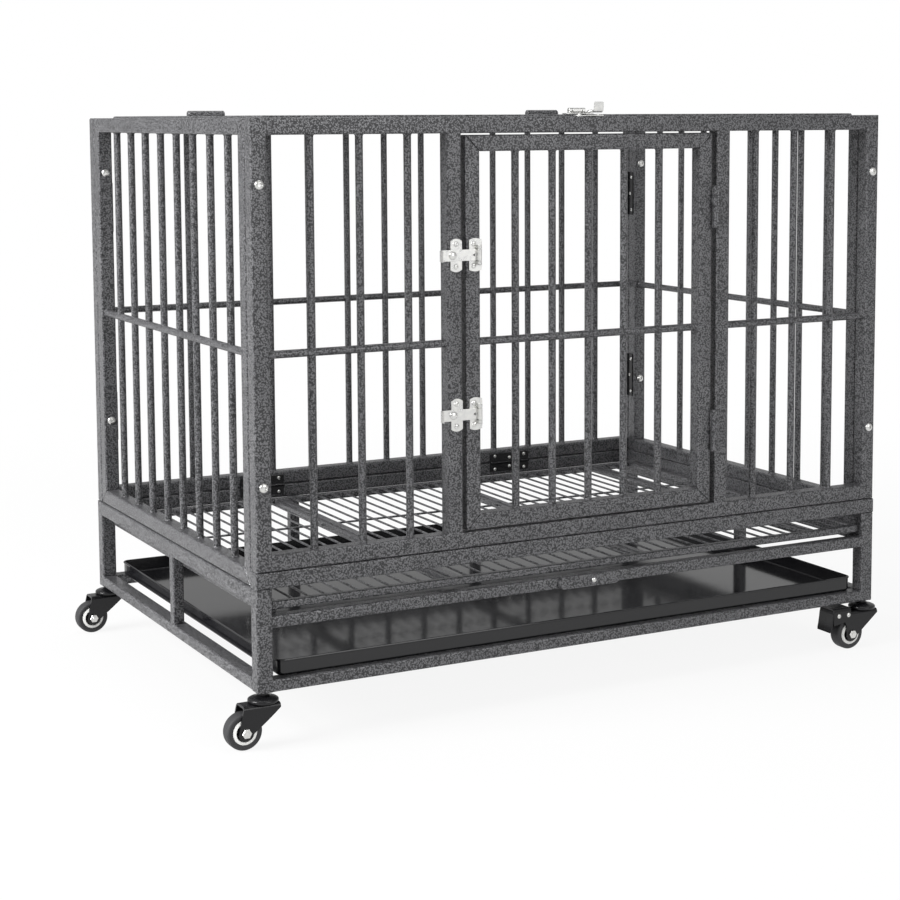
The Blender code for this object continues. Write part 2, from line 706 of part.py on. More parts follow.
def hinge_leaf(fingers, flip):
    """A leaf: (a, b, c) is width from the pin line, height from the face, and length along the pin."""
    side = -1 if flip else 1
    start = KNUCKLE_RADIUS + 2 * TOUCH
    plate = box(sorted((side * start, side * LEAF_WIDTH)), (0, LEAF_THICKNESS),
                (-LEAF_LENGTH / 2, LEAF_LENGTH / 2))
    finger = LEAF_LENGTH / 5
    tabs = []
    barrels = []
    for number in fingers:
        low = -LEAF_LENGTH / 2 + finger * number + TOUCH / 2
        high = low + finger - TOUCH
        tabs.append(box(sorted((side * TOUCH, side * (start + LEAF_THICKNESS))),
                        (TOUCH, LEAF_THICKNESS - TOUCH / 2), (low, high)))
        middle = KNUCKLE_RADIUS + TOUCH / 2
        barrels.append(rod((0, middle, low), (0, middle, high), KNUCKLE_RADIUS, KNUCKLE_SIDES,
                           math.pi / KNUCKLE_SIDES))
    return joined(plate, together(tabs), together(barrels))


def corner_hinges():
    """Upright hinges inside the rear corners, one leaf on the side grille and one on the back one."""
    for side, side_name in ((-1, "left"), (1, "right")):
        face = Matrix(((0, -side, 0, side * (PANEL_INNER - TOUCH)), (1, 0, 0, BACK_INNER),
                       (0, 0, 1, 0), (0, 0, 0, 1)))
        for height, level in zip(CORNER_HINGE_HEIGHTS, ("lower", "upper")):
            place = Matrix.Translation((0, 0, height)) @ face
            pivot = place.translation
            name = f"corner_hinge_{side_name}_{level}"
            piece(f"{name}_side_leaf", moved(hinge_leaf((0, 2, 4), True), place), BLACK_PAINT, pivot)
            piece(f"{name}_back_leaf", moved(hinge_leaf((1, 3), False), place), BLACK_PAINT, pivot)


def base_hinges():
    """Level hinges that hold the back grille on the base, pressed flat."""
    seam = SIDE_RAIL_TOP + SEAM / 2
    face = Matrix(((0, 0, 1, 0), (0, -1, 0, BACK_INNER - TOUCH), (1, 0, 0, seam), (0, 0, 0, 1)))
    middle = KNUCKLE_RADIUS + TOUCH / 2
    half = LEAF_LENGTH / 2
    for side, side_name in ((-1, "left"), (1, "right")):
        plate = box((-LEAF_WIDTH, LEAF_WIDTH), (0, LEAF_THICKNESS), (-half, half))
        barrel = rod((0, middle, -half + TOUCH), (0, middle, half - TOUCH), KNUCKLE_RADIUS,
                     KNUCKLE_SIDES, math.pi / KNUCKLE_SIDES)
        place = Matrix.Translation((side * BASE_HINGE_X, 0, 0)) @ face
        name = f"base_hinge_{side_name}"
        piece(name, moved(joined(plate, barrel), place), BLACK_PAINT, place.translation)


# Latches

def ribbon(points, thickness):
    """Outline of a bent strip that follows the points."""
    left = []
    right = []
    for n, (a, b) in enumerate(points):
        before = points[max(n - 1, 0)]
        after = points[min(n + 1, len(points) - 1)]
        run = Vector((after[0] - before[0], after[1] - before[1])).normalized()
        aside = Vector((-run.y, run.x)) * thickness / 2
        left.append((a + aside.x, b + aside.y))
        right.append((a - aside.x, b - aside.y))
    return left + right[::-1]


def latch_shapes(keeper_edge, keeper_drop):
    """Door plate, arm and keeper, with a towards the lip, b out of the face and c along the pin."""
    half_plate = LATCH_PLATE_LENGTH / 2
    top = TOUCH + SHEET
    inner = -LATCH_AXIS_SETBACK - TOUCH
    plate = box((inner - SHEET, inner + LATCH_PLATE_WIDTH), (TOUCH, top), (-half_plate, half_plate))
    flange = box((inner - SHEET, inner), (-LATCH_FLANGE_DEPTH, top - TOUCH),
                 (-LATCH_FLANGE_LENGTH / 2, LATCH_FLANGE_LENGTH / 2))
    reach = LATCH_ARM_WIDTH / 2 + TOUCH
    feet = []
    eyes = []
    for side in (-1, 1):
        span = sorted((side * (reach + TOUCH), side * (reach + TOUCH + LATCH_FOOT_LENGTH)))
        feet.append(box((-LATCH_FOOT_HALF, LATCH_FOOT_HALF), (top - TOUCH, LATCH_AXIS_HEIGHT), span))
        eyes.append(rod((0, LATCH_AXIS_HEIGHT, span[0]), (0, LATCH_AXIS_HEIGHT, span[1]),
                        LATCH_BARREL_RADIUS, LATCH_SIDES))
    pin_end = reach + LATCH_FOOT_LENGTH / 2
    pin = rod((0, LATCH_AXIS_HEIGHT, -pin_end), (0, LATCH_AXIS_HEIGHT, pin_end),
              LATCH_PIN_RADIUS, LATCH_SIDES)
    door_plate = joined(plate, flange, together(feet), together(eyes), pin)

    keeper_low = keeper_edge + 2 * TOUCH
    keeper = box((keeper_low, keeper_low + LATCH_PLATE_WIDTH),
                 (TOUCH - keeper_drop, top - keeper_drop), (-half_plate, half_plate))

    strip_middle = top + 2 * TOUCH + SHEET / 2
    lip_start = keeper_low + LATCH_PLATE_WIDTH + TOUCH
    bend_start = lip_start + LATCH_LIP_RUN
    path = [(LATCH_BORE_RADIUS, strip_middle), (bend_start, strip_middle)]
    for step in range(1, 6):
        angle = math.radians(15 * step)
        path.append((bend_start + LATCH_LIP_BEND * math.sin(angle),
                     strip_middle + LATCH_LIP_BEND * (1 - math.cos(angle))))
    path.append((bend_start + LATCH_LIP_BEND + LATCH_LIP_LEAN, LATCH_REACH))
    outline = ribbon(path, SHEET)
    half_arm = LATCH_ARM_WIDTH / 2
    strip = prism(outline, -half_arm, half_arm)
    end = half_arm + TOUCH
    barrel = rod((0, LATCH_AXIS_HEIGHT, -end), (0, LATCH_AXIS_HEIGHT, end),
                 LATCH_BARREL_RADIUS, LATCH_SIDES)
    bore = rod((0, LATCH_AXIS_HEIGHT, -end - TOUCH), (0, LATCH_AXIS_HEIGHT, end + TOUCH),
               LATCH_BORE_RADIUS, LATCH_SIDES)
    stand = Matrix.Translation((lip_start + DIMPLE_PLACE, 0, 0))
    dome = [(0.0, strip_middle), (DIMPLE_RADIUS, strip_middle)]
    for step in (1, 2, 3):
        angle = math.radians(22.5 * step)
        dome.append((DIMPLE_RADIUS * math.cos(angle), strip_middle + DIMPLE_HEIGHT * math.sin(angle)))
    dome.append((0.0, dome[-1][1]))
    dimple = turned(dome, LATCH_SIDES, stand @ Matrix.Rotation(math.radians(-90), 4, "X"))
    arm = cut(joined(strip, barrel, dimple), bore)
    return door_plate, arm, keeper


def latches():
    """Two latches on the front door and one on the roof lid."""
    gap = DOOR_LATCH_GAP + TUBE - LATCH_AXIS_SETBACK
    for height, level in zip(LATCH_HEIGHTS, ("lower", "upper")):
        x = DOOR_LEFT + TUBE - LATCH_AXIS_SETBACK
        place = Matrix(((-1, 0, 0, x), (0, -1, 0, FRONT_FACE), (0, 0, 1, height), (0, 0, 0, 1)))
        shapes = latch_shapes(gap, 0.0)
        pivot = place @ Vector((0, LATCH_AXIS_HEIGHT, 0))
        name = f"latch_{level}"
        piece(f"{name}_plate", moved(shapes[0], place), ZINC)
        piece(f"{name}_arm", moved(shapes[1], place), ZINC, pivot)
        piece(f"{name}_keeper", moved(shapes[2], place), ZINC)
    gap = LID_FRONT_GAP + TUBE - LATCH_AXIS_SETBACK
    y = LID_FRONT + TUBE - LATCH_AXIS_SETBACK
    place = Matrix(((0, 0, 1, LATCH_X), (-1, 0, 0, y), (0, 1, 0, LID_TOP), (0, 0, 0, 1)))
    shapes = latch_shapes(gap, LID_RISE)
    pivot = place @ Vector((0, LATCH_AXIS_HEIGHT, 0))
    piece("latch_roof_plate", moved(shapes[0], place), ZINC)
    piece("latch_roof_arm", moved(shapes[1], place), ZINC, pivot)
    piece("latch_roof_keeper", moved(shapes[2], place), ZINC)


# Floor grate, tray and retainer

def floor_grate():
    """A drawn-out floor: a frame, three wide members under the wires and one cross wire."""
    half = HALF_WIDTH - TUBE - GRATE_SIDE_GAP
    front = FRONT_FACE + GRATE_FRONT_SETBACK
    rear = BACK_INNER - GRATE_REAR_GAP
    top = GRATE_LOW + GRATE_FRAME
    across = [-half, -half + GRATE_FRAME, half - GRATE_FRAME, half]
    along = [front, front + GRATE_FRAME, rear - GRATE_FRAME, rear]
    shell = lattice(across, along, {(1, 1)}, GRATE_LOW, top)
    ends = (front + GRATE_FRAME / 2, rear - GRATE_FRAME / 2)
    members = []
    for number in range(3):
        x = half - GRATE_MEMBER_INSET - number * GRATE_MEMBER_PITCH
        span = (x - GRATE_MEMBER / 2, x + GRATE_MEMBER / 2)
        members.append(box(span, ends, (GRATE_LOW + TOUCH, GRATE_LOW + GRATE_MEMBER_TOP)))
    wire_z = top - GRATE_WIRE / 2 - TOUCH
    count = round((across[2] - across[1]) / GRATE_WIRE_PITCH) - 1
    wires = []
    for x in spaced(across[1], across[2], count, GRATE_WIRE):
        wires.append(rod((x, ends[0], wire_z), (x, ends[1], wire_z), GRATE_WIRE / 2, 6))
    low_z = wire_z - GRATE_WIRE + 3 * TOUCH
    cross_wire = rod((across[0] + GRATE_FRAME / 2, GRATE_CROSS_WIRE_Y, low_z),
                     (across[3] - GRATE_FRAME / 2, GRATE_CROSS_WIRE_Y, low_z), GRATE_WIRE / 2, 6)
    shape = joined(shell, together(members), together(wires), cross_wire)
    piece("floor_grate", shape, HAMMERTONE, (0, front, GRATE_LOW))


def tray():
    """A shallow open tray that lies on the front and rear bottom rails."""
    half = HALF_WIDTH - TUBE - TRAY_SIDE_GAP
    front = FRONT_FACE + TRAY_FRONT_SETBACK
    rear = BACK_INNER + TRAY_REAR_REST
    low = BOTTOM_RAIL_TOP + TOUCH
    shell = box((-half, half), (front, rear), (low, low + TRAY_HEIGHT))
    hollow = box((-half + TRAY_WALL, half - TRAY_WALL), (front + TRAY_WALL, rear - TRAY_WALL),
                 (low + TRAY_WALL, low + TRAY_HEIGHT + TRAY_WALL))
    piece("tray", cut(shell, hollow), TRAY_PLASTIC, (0, front, low))


def retainer():
    """A flat bar on the mid rail that turns to hold the grate and the tray in."""
    pivot = Vector((RETAINER_X, FRONT_FACE, MID_RAIL_LOW + SMALL_TUBE / 2))
    radius = RETAINER_WIDTH / 2
    outline = []
    for centre, start in ((RETAINER_SHORT_END - radius, -90), (radius - RETAINER_LONG_END, 90)):
        for step in range(9):
            angle = math.radians(start + step * 22.5)
            outline.append((centre + radius * math.cos(angle), radius * math.sin(angle)))
    back = FRONT_FACE - TOUCH
    bar = prism(outline, back - RETAINER_THICKNESS, back, ALONG_Y)
    bar.transform(Matrix.Translation((pivot.x, 0, pivot.z)))
    hole = rod((pivot.x, back - 2 * RETAINER_THICKNESS, pivot.z), (pivot.x, back + TOUCH, pivot.z),
               RETAINER_SHANK_RADIUS + TOUCH, BOLT_SIDES)
    piece("retainer_bar", cut(bar, hole), HAMMERTONE, pivot)
    profile = headed(RETAINER_SCREW_RADIUS, RETAINER_SCREW_HEAD, -RETAINER_THICKNESS - 2 * TOUCH,
                     RETAINER_SHANK_RADIUS, SMALL_TUBE / 2 - TOUCH)
    place = Matrix.Translation(pivot) @ ALONG_Y
    piece("retainer_screw", turned(profile, BOLT_SIDES, place), ZINC, pivot)


# Casters

def fork_shape(eared):
    """A pressed fork round the wheel, with its axle; one for a brake has an ear at the back."""
    back = -CASTER_TRAIL - (FORK_EAR if eared else FORK_BACK)
    lobe = []
    for step in range(9):
        angle = math.radians(-55 - step * 17.3)
        lobe.append((-CASTER_TRAIL + FORK_EYE * math.cos(angle),
                     WHEEL_RADIUS + FORK_EYE * math.sin(angle)))
    outline = [(back, FORK_TOP), (FORK_FRONT - TOUCH, FORK_TOP), (FORK_FRONT, FORK_TOP - 2 * FORK_SHEET)]
    outline += lobe
    if eared:
        outline += [(-CASTER_TRAIL - FORK_EYE, FORK_EAR_FOOT), (back, FORK_TOP - FORK_EAR_DROP)]
    half = FORK_WIDTH / 2
    cheeks = [prism(outline, -half, -half + FORK_SHEET, ALONG_Y),
              prism(outline, half - FORK_SHEET, half, ALONG_Y)]
    bridge = box((back + FORK_SHEET / 2, FORK_FRONT - FORK_SHEET / 2),
                 (-half + FORK_SHEET / 2, half - FORK_SHEET / 2),
                 (FORK_TOP - FORK_SHEET, FORK_TOP - FORK_SHEET / 4))
    axle = rod((-CASTER_TRAIL, -half - TOUCH, WHEEL_RADIUS), (-CASTER_TRAIL, half + TOUCH, WHEEL_RADIUS),
               AXLE_RADIUS, BOLT_SIDES)
    heads = []
    for side in (-1, 1):
        heads.append(rod((-CASTER_TRAIL, side * (half - FORK_SHEET / 2), WHEEL_RADIUS),
                         (-CASTER_TRAIL, side * AXLE_REACH, WHEEL_RADIUS), AXLE_HEAD, 6))
    return joined(together(cheeks), bridge, axle, together(heads))


def raceway_shape():
    """The fixed cap over the swivel: collar, dome and rim."""
    top = BASE_BOTTOM - TOUCH
    dome_top = top - COLLAR_HEIGHT
    rim = RACEWAY_LOW + RIM_HEIGHT
    profile = [(0.0, top), (COLLAR_RADIUS, top), (COLLAR_RADIUS, dome_top)]
    for step in range(5):
        angle = math.radians(60 - 15 * step)
        rise = (dome_top - TOUCH - rim) * math.sin(angle)
        profile.append((RACEWAY_RADIUS * math.cos(angle), rim + rise))
    profile += [(RACEWAY_RADIUS, RACEWAY_LOW), (0.0, RACEWAY_LOW)]
    return turned(profile, RACEWAY_SIDES)


def wheel_shape():
    """A tyred wheel with a bored hub, on the Y axis."""
    half = WHEEL_WIDTH / 2
    bore = AXLE_RADIUS + PIN_PLAY
    edge = WHEEL_RADIUS / math.cos(math.pi / WHEEL_SIDES)
    profile = [(bore, -half), (edge - TREAD_BEVEL, -half), (edge, -half + TREAD_BEVEL),
               (edge, half - TREAD_BEVEL), (edge - TREAD_BEVEL, half), (bore, half)]
    return turned(profile, WHEEL_SIDES, Matrix.Rotation(math.radians(90), 4, "X"))


def brake_shape():
    """The hood of the foot brake: cheeks outside the fork, a cover, a toe plate and the pad."""
    inner = FORK_WIDTH / 2 + TOUCH
    outer = inner + BRAKE_WALL
    top = FORK_TOP + BRAKE_RISE
    cheek_low = FORK_TOP - BRAKE_CHEEK_DROP
    front = BRAKE_FRONT - CASTER_TRAIL - BRAKE_PIVOT_BACK
    rear = -CASTER_TRAIL - WHEEL_RADIUS - BRAKE_GAP
    toe = rear - BRAKE_TOE_BACK
    toe_z = FORK_TOP - BRAKE_TOE_DROP
    cheek = [(front, top), (front, cheek_low), (rear - BRAKE_WALL, cheek_low - BRAKE_PAD_LENGTH),
             (rear, top)]
    cheeks = [prism(cheek, -outer, -inner, ALONG_Y), prism(cheek, inner, outer, ALONG_Y)]
    cover = box((rear - TOUCH, front - TOUCH), (-outer + TOUCH, outer - TOUCH),
                (top - BRAKE_WALL, top - TOUCH))
    sheet_top = top - 2 * TOUCH
    plate = [(rear, sheet_top), (rear - BRAKE_WALL, sheet_top), (toe - BRAKE_WALL, toe_z), (toe, toe_z)]
    shield = prism(plate, -outer + 2 * TOUCH, outer - 2 * TOUCH, ALONG_Y)
    pad_back = rear + BRAKE_PAD_BACK
    pad_top = top - 3 * TOUCH
    pad = [(pad_back, pad_top), (pad_back, FORK_TOP - BRAKE_PAD_DROP),
           (pad_back + BRAKE_PAD_LENGTH, FORK_TOP - BRAKE_PAD_DROP),
           (pad_back + BRAKE_PAD_LENGTH + BRAKE_WALL, pad_top)]
    block = prism(pad, -WHEEL_WIDTH / 2, WHEEL_WIDTH / 2, ALONG_Y)
    return joined(together(cheeks), cover, shield, block)


def casters():
    """Four swivel casters, all trailing to the left; the right-hand ones have brakes."""
    for x_side, x_name in ((-1, "left"), (1, "right")):
        for y_side, y_name in ((-1, "front"), (1, "rear")):
            stem = Vector((x_side * POST_X, y_side * POST_Y, 0.0))
            place = Matrix.Translation(stem)
            name = f"caster_{y_name}_{x_name}"
            axle = stem + Vector((-CASTER_TRAIL, 0, WHEEL_RADIUS))
            piece(f"{name}_raceway", moved(raceway_shape(), place), BLACK_PAINT, stem)
            piece(f"{name}_fork", moved(fork_shape(x_side > 0), place), BLACK_PAINT, stem)
            piece(f"{name}_wheel", moved(wheel_shape(), Matrix.Translation(axle)), TYRE, axle)
            if x_side > 0:
                pivot = stem + Vector((-CASTER_TRAIL - BRAKE_PIVOT_BACK, 0, FORK_TOP - BRAKE_PIVOT_DROP))
                piece(f"{name}_brake", moved(brake_shape(), place), BLACK_PAINT, pivot)


base_frame()
front_panel()
back_panel()
side_panel("left_panel", -1)
side_panel("right_panel", 1)
panel_bolts()
front_door()
roof_lid()
door_hinges()
corner_hinges()
base_hinges()
latches()
floor_grate()
tray()
retainer()
casters()
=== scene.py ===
import math

import bmesh
import bpy
import numpy as np
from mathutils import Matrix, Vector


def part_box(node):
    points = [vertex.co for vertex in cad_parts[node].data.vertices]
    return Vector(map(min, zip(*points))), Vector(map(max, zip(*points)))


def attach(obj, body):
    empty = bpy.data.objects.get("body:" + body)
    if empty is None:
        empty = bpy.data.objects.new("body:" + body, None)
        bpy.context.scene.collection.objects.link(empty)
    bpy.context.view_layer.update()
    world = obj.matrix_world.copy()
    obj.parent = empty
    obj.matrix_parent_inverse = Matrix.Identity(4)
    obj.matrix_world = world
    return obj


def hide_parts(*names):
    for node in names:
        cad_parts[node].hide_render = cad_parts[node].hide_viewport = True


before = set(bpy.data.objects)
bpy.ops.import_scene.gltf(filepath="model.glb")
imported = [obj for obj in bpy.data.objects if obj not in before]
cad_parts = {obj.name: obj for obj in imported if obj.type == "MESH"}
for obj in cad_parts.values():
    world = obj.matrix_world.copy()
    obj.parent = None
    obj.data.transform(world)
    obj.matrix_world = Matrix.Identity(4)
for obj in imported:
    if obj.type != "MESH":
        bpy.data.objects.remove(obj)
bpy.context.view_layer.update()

# The base is welded from square steel tube: 20 mm corner posts and rails, 15 mm ones between them, and
# a runner strip inside each side that the grate slides on. Everything is sprayed with dark hammertone
# enamel, and the rail ends sink a little into the posts they meet; their weld toes are not drawn.


def linear(code):
    """A colour from its sRGB hex code: c / 12.92, or ((c + 0.055) / 1.055) ^ 2.4 above 0.04045."""
    channels = np.array([int(code[place:place + 2], 16) for place in (0, 2, 4)]) / 255
    values = np.where(channels <= 0.04045, channels / 12.92, ((channels + 0.055) / 1.055) ** 2.4)
    return (*values.tolist(), 1.0)


def add(tree, kind, inputs, **settings):
    """Add a node with its settings; each input takes a value or another node's output."""
    made = tree.nodes.new(kind)
    for name, value in settings.items():
        setattr(made, name, value)
    for name, value in inputs.items():
        if isinstance(value, bpy.types.NodeSocket):
            tree.links.new(value, made.inputs[name])
        else:
            made.inputs[name].default_value = value
    return made


def new_finish(name, slot, **shader_values):
    """A Principled material for one of the record's slots, with its tree and Object coordinates."""
    made = bpy.data.materials.new(name)
    made["slot"] = slot
    made.use_nodes = True
    tree = made.node_tree
    tree.nodes.clear()
    values = {key.replace("_", " "): value for key, value in shader_values.items()}
    shader = add(tree, "ShaderNodeBsdfPrincipled", values)
    add(tree, "ShaderNodeOutputMaterial", {"Surface": shader.outputs["BSDF"]})
    place = add(tree, "ShaderNodeTexCoord", {}).outputs["Object"]
    return made, tree, shader, place


# Hammertone enamel, sprayed and stoved: silicone in the paint draws the wet coat into rounded cells
# with dark sunken seams, and leafing aluminium in it gives a grey sheen. The cells are about 2 mm
# across, and they run together like worms where the coat is thick.
HAMMER_CELL = 0.0021
HAMMER_DEPTH = 0.00012
hammertone, tree, shader, place = new_finish("hammertone_enamel_sprayed", "hammertone_paint",
                                             Metallic=0.2)
wander = add(tree, "ShaderNodeTexNoise", {"Vector": place, "Scale": 1 / (2 * HAMMER_CELL), "Detail": 1.0})
bent = add(tree, "ShaderNodeVectorMath", {0: wander.outputs["Color"], 1: (1.6 * HAMMER_CELL,) * 3,
                                          2: place}, operation="MULTIPLY_ADD").outputs["Vector"]
cells = add(tree, "ShaderNodeTexVoronoi", {"Vector": bent, "Scale": 1 / HAMMER_CELL, "Smoothness": 0.35},
            feature="SMOOTH_F1")
swell = add(tree, "ShaderNodeMapRange", {"Value": cells.outputs["Distance"], "From Min": 0.62,
                                         "From Max": 0.30}, interpolation_type="SMOOTHSTEP")
cloud = add(tree, "ShaderNodeTexNoise", {"Vector": place, "Scale": 1 / 0.05, "Detail": 3.0})
tone = add(tree, "ShaderNodeMix", {0: cloud.outputs["Fac"], 6: linear("646467"), 7: linear("818183")},
           data_type="RGBA")
colour = add(tree, "ShaderNodeMix", {0: swell.outputs["Result"], 6: linear("2e2e30"),
                                     7: tone.outputs[2]}, data_type="RGBA")
sheen = add(tree, "ShaderNodeMapRange", {"Value": swell.outputs["Result"], "To Min": 0.42, "To Max": 0.26})
raised = add(tree, "ShaderNodeBump", {"Height": swell.outputs["Result"], "Distance": HAMMER_DEPTH,
                                      "Strength": 0.7})
tree.links.new(colour.outputs[2], shader.inputs["Base Color"])
tree.links.new(sheen.outputs["Result"], shader.inputs["Roughness"])
tree.links.new(raised.outputs["Normal"], shader.inputs["Normal"])


def rounded(width, height, radius, inset=0.0, steps=4):
    """A rectangle with quarter-circle corners: corner centre + (radius - inset) (cos t, sin t)."""
    turn = np.arange(4)[:, None] * math.pi / 2 + np.linspace(0, math.pi / 2, steps + 1)
    signs = np.array([(1, 1), (-1, 1), (-1, -1), (1, -1)]).repeat(steps + 1, axis=0)
    middles = signs * (np.array([width, height]) / 2 - radius)
    return middles + (radius - inset) * np.column_stack([np.cos(turn.ravel()), np.sin(turn.ravel())])


def shell(rings, closed=False):
    """A grid of points joined ring to ring by quads; open ends are closed with a cap."""
    count, size = rings.shape[:2]
    grid = np.arange(count * size).reshape(count, size)
    first = grid if closed else grid[:-1]
    second = np.roll(grid, -1, axis=0) if closed else grid[1:]
    quads = np.stack([first, np.roll(first, -1, axis=1), np.roll(second, -1, axis=1), second], axis=-1)
    corners = [quads.ravel()]
    sizes = [np.full(first.size, 4)]
    if not closed:
        corners += [grid[0, ::-1], grid[-1]]
        sizes += [np.array([size, size])]
    return rings.reshape(-1, 3), np.concatenate(corners), np.concatenate(sizes)


def carried(outlines, centres, across, up, closed=False):
    """A profile carried along a path: each point is centre + a across + b up for the outline's (a, b)."""
    centres = np.asarray(centres, float)
    outlines = np.broadcast_to(outlines, (len(centres),) + np.shape(outlines)[-2:])
    across = np.broadcast_to(across, centres.shape)[:, None]
    up = np.broadcast_to(up, centres.shape)[:, None]
    return shell(centres[:, None] + outlines[..., :1] * across + outlines[..., 1:] * up, closed)


def tube(start, end, width, depth, aside, radius=0.0024, ease=0.0006):
    """A straight square tube: the rounded outline at both ends, drawn in by the eased edge."""
    start, end = np.array(start, float), np.array(end, float)
    length = np.linalg.norm(end - start)
    along = (end - start) / length
    stations = np.array([0, ease, length - ease, length])
    outlines = [rounded(width, depth, radius, inset) for inset in (ease, 0, 0, ease)]
    return carried(outlines, start + stations[:, None] * along, aside, np.cross(along, aside))


def make(name, shells, finish, body, *nodes, sharp=35):
    """One named piece of these shells, with its faces out, riding on its body for its CAD nodes."""
    starts = np.cumsum([0] + [len(points) for points, _, _ in shells])
    points = np.concatenate([points for points, _, _ in shells])
    corners = np.concatenate([corners + start for (_, corners, _), start in zip(shells, starts)])
    sizes = np.concatenate([sizes for _, _, sizes in shells])
    mesh = bpy.data.meshes.new(name)
    mesh.vertices.add(len(points))
    mesh.vertices.foreach_set("co", points.ravel())
    mesh.loops.add(len(corners))
    mesh.loops.foreach_set("vertex_index", corners.astype(np.int32))
    mesh.polygons.add(len(sizes))
    mesh.polygons.foreach_set("loop_start", (np.cumsum(sizes) - sizes).astype(np.int32))
    mesh.update(calc_edges=True)
    build = bmesh.new()
    build.from_mesh(mesh)
    bmesh.ops.recalc_face_normals(build, faces=build.faces)
    build.to_mesh(mesh)
    build.free()
    mesh.shade_smooth()
    mesh.set_sharp_from_angle(angle=math.radians(sharp))
    mesh.materials.append(finish)
    made = bpy.data.objects.new(name, mesh)
    bpy.context.scene.collection.objects.link(made)
    made.modifiers.new("flats", "WEIGHTED_NORMAL").keep_sharp = True
    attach(made, body)
    if nodes:
        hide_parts(*nodes)
    return made


TUBE = 0.020
SMALL_TUBE = 0.015
SUNK = 0.0018
MID_RAIL_RISE = 0.077
RUNNER_RISE = 0.0972
RUNNER_WIDTH = 0.014
RUNNER_HEIGHT = 0.008
SIDE_POST_SHIFT = 0.0075
BACK_POST_OFFSET = 0.157
X, Y, Z = np.eye(3)
(left, front, bottom), (right, back, front_top) = (np.array(corner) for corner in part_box("base_frame"))
centre_x = (left + right) / 2
centre_y = (front + back) / 2
side_top = front_top - TUBE
mid_rail = bottom + MID_RAIL_RISE
runner_middle = bottom + RUNNER_RISE - RUNNER_HEIGHT / 2
members = []
for y in (front + TUBE / 2, back - TUBE / 2):
    for x in (left + TUBE / 2, right - TUBE / 2):
        members.append(tube((x, y, bottom), (x, y, side_top), TUBE, TUBE, X))
y, z = front + TUBE / 2, front_top - TUBE / 2
members.append(tube((left, y, z), (right, y, z), TUBE, TUBE, Y))
inner_left, inner_right = left + TUBE - SUNK, right - TUBE + SUNK
for y, z, depth, height in (
        (front + TUBE / 2, bottom + SMALL_TUBE / 2, TUBE, SMALL_TUBE),
        (back - TUBE / 2, bottom + SMALL_TUBE / 2, TUBE, SMALL_TUBE),
        (back - TUBE / 2, side_top - TUBE / 2, TUBE, TUBE),
        (front + SMALL_TUBE / 2, mid_rail + SMALL_TUBE / 2, SMALL_TUBE, SMALL_TUBE)):
    members.append(tube((inner_left, y, z), (inner_right, y, z), depth, height, Y))
inner_front, inner_back = front + TUBE - SUNK, back - TUBE + SUNK
for side, outer in ((1, left), (-1, right)):
    wide = outer + side * TUBE / 2
    narrow = outer + side * SMALL_TUBE / 2
    strip = outer + side * (TUBE + RUNNER_WIDTH / 2 - 0.002)
    for z, height in ((side_top - TUBE / 2, TUBE), (bottom + SMALL_TUBE / 2, SMALL_TUBE)):
        members.append(tube((wide, inner_front, z), (wide, inner_back, z), TUBE, height, X))
    members.append(tube((strip, inner_front, runner_middle), (strip, inner_back, runner_middle),
                        RUNNER_WIDTH, RUNNER_HEIGHT, X, 0.001))
    low_z, high_z = bottom + SMALL_TUBE - SUNK, side_top - TUBE + SUNK
    for x, y in ((narrow, centre_y - SIDE_POST_SHIFT),
                 (centre_x + side * BACK_POST_OFFSET, back - SMALL_TUBE / 2)):
        members.append(tube((x, y, low_z), (x, y, high_z), SMALL_TUBE, SMALL_TUBE, X))
make("base_tubes", members, hammertone, "frame", "base_frame")

# The back and side panels are welded frames of 20 mm tube, mitred at the corners with a ground seam, and
# filled with 9.5 mm round bars. One round crossbar at half height is welded on the outer side of the
# bars, so it runs unbroken in front of them.
BAR_RADIUS = 0.00475
CROSSBAR_OUT = 0.0016
BACK_BARS = 13
SIDE_BARS = 8


def mitred(plane, a_range, b_range, width, groove=0.0012, depth=0.0011):
    """Four mitred tubes: the outline (o, h) is carried round a rectangle, and each ring lies in a
    corner's diagonal plane, at corner + o (sign a, sign b) + h out. A drawn-in ring makes the seam."""
    origin, across, up, out = plane
    half = width / 2
    signs = np.array([(1, 1), (-1, 1), (-1, -1), (1, -1)])
    lows, highs = np.array([(a_range[0], b_range[0]), (a_range[1], b_range[1])])
    middles = np.where(signs > 0, highs - half, lows + half)
    travel = np.roll(middles, -1, axis=0) - middles
    travel /= np.linalg.norm(travel, axis=1, keepdims=True)
    arriving = np.roll(travel, 1, axis=0)
    shifts = np.stack([-groove * arriving, 0 * travel, groove * travel], axis=1)
    outlines = np.array([rounded(width, width, 0.0024, inset) for inset in (0, depth, 0)])
    flat = (middles[:, None] + shifts)[:, :, None] + outlines[None, :, :, :1] * signs[:, None, None]
    rings = (origin + flat[..., :1] * across + flat[..., 1:] * up + outlines[None, :, :, 1:] * out)
    return shell(rings.reshape(-1, outlines.shape[1], 3), closed=True)


def circle_of(sides):
    """Points (cos t, sin t) at equal steps round a circle."""
    angle = 2 * math.pi * np.arange(sides) / sides
    return np.column_stack([np.cos(angle), np.sin(angle)])


def round_bar(start, end, radius=BAR_RADIUS, weld=0.0011, sides=16):
    """A round bar: a circle carried from start to end, with a radius that swells into each weld."""
    start, end = np.array(start, float), np.array(end, float)
    length = np.linalg.norm(end - start)
    along = (end - start) / length
    aside = np.cross(along, (0.3, 0.5, 0.8))
    aside /= np.linalg.norm(aside)
    near = np.array([-0.0010, 0.0002, 0.0009, 0.0022])
    stations = np.concatenate([near, length - near[::-1]])
    growth = weld * np.array([1, 1, 0.4, 0, 0, 0.4, 1, 1])
    outlines = (radius + growth)[:, None, None] * circle_of(sides)
    return carried(outlines, start + stations[:, None] * along, aside, np.cross(along, aside))


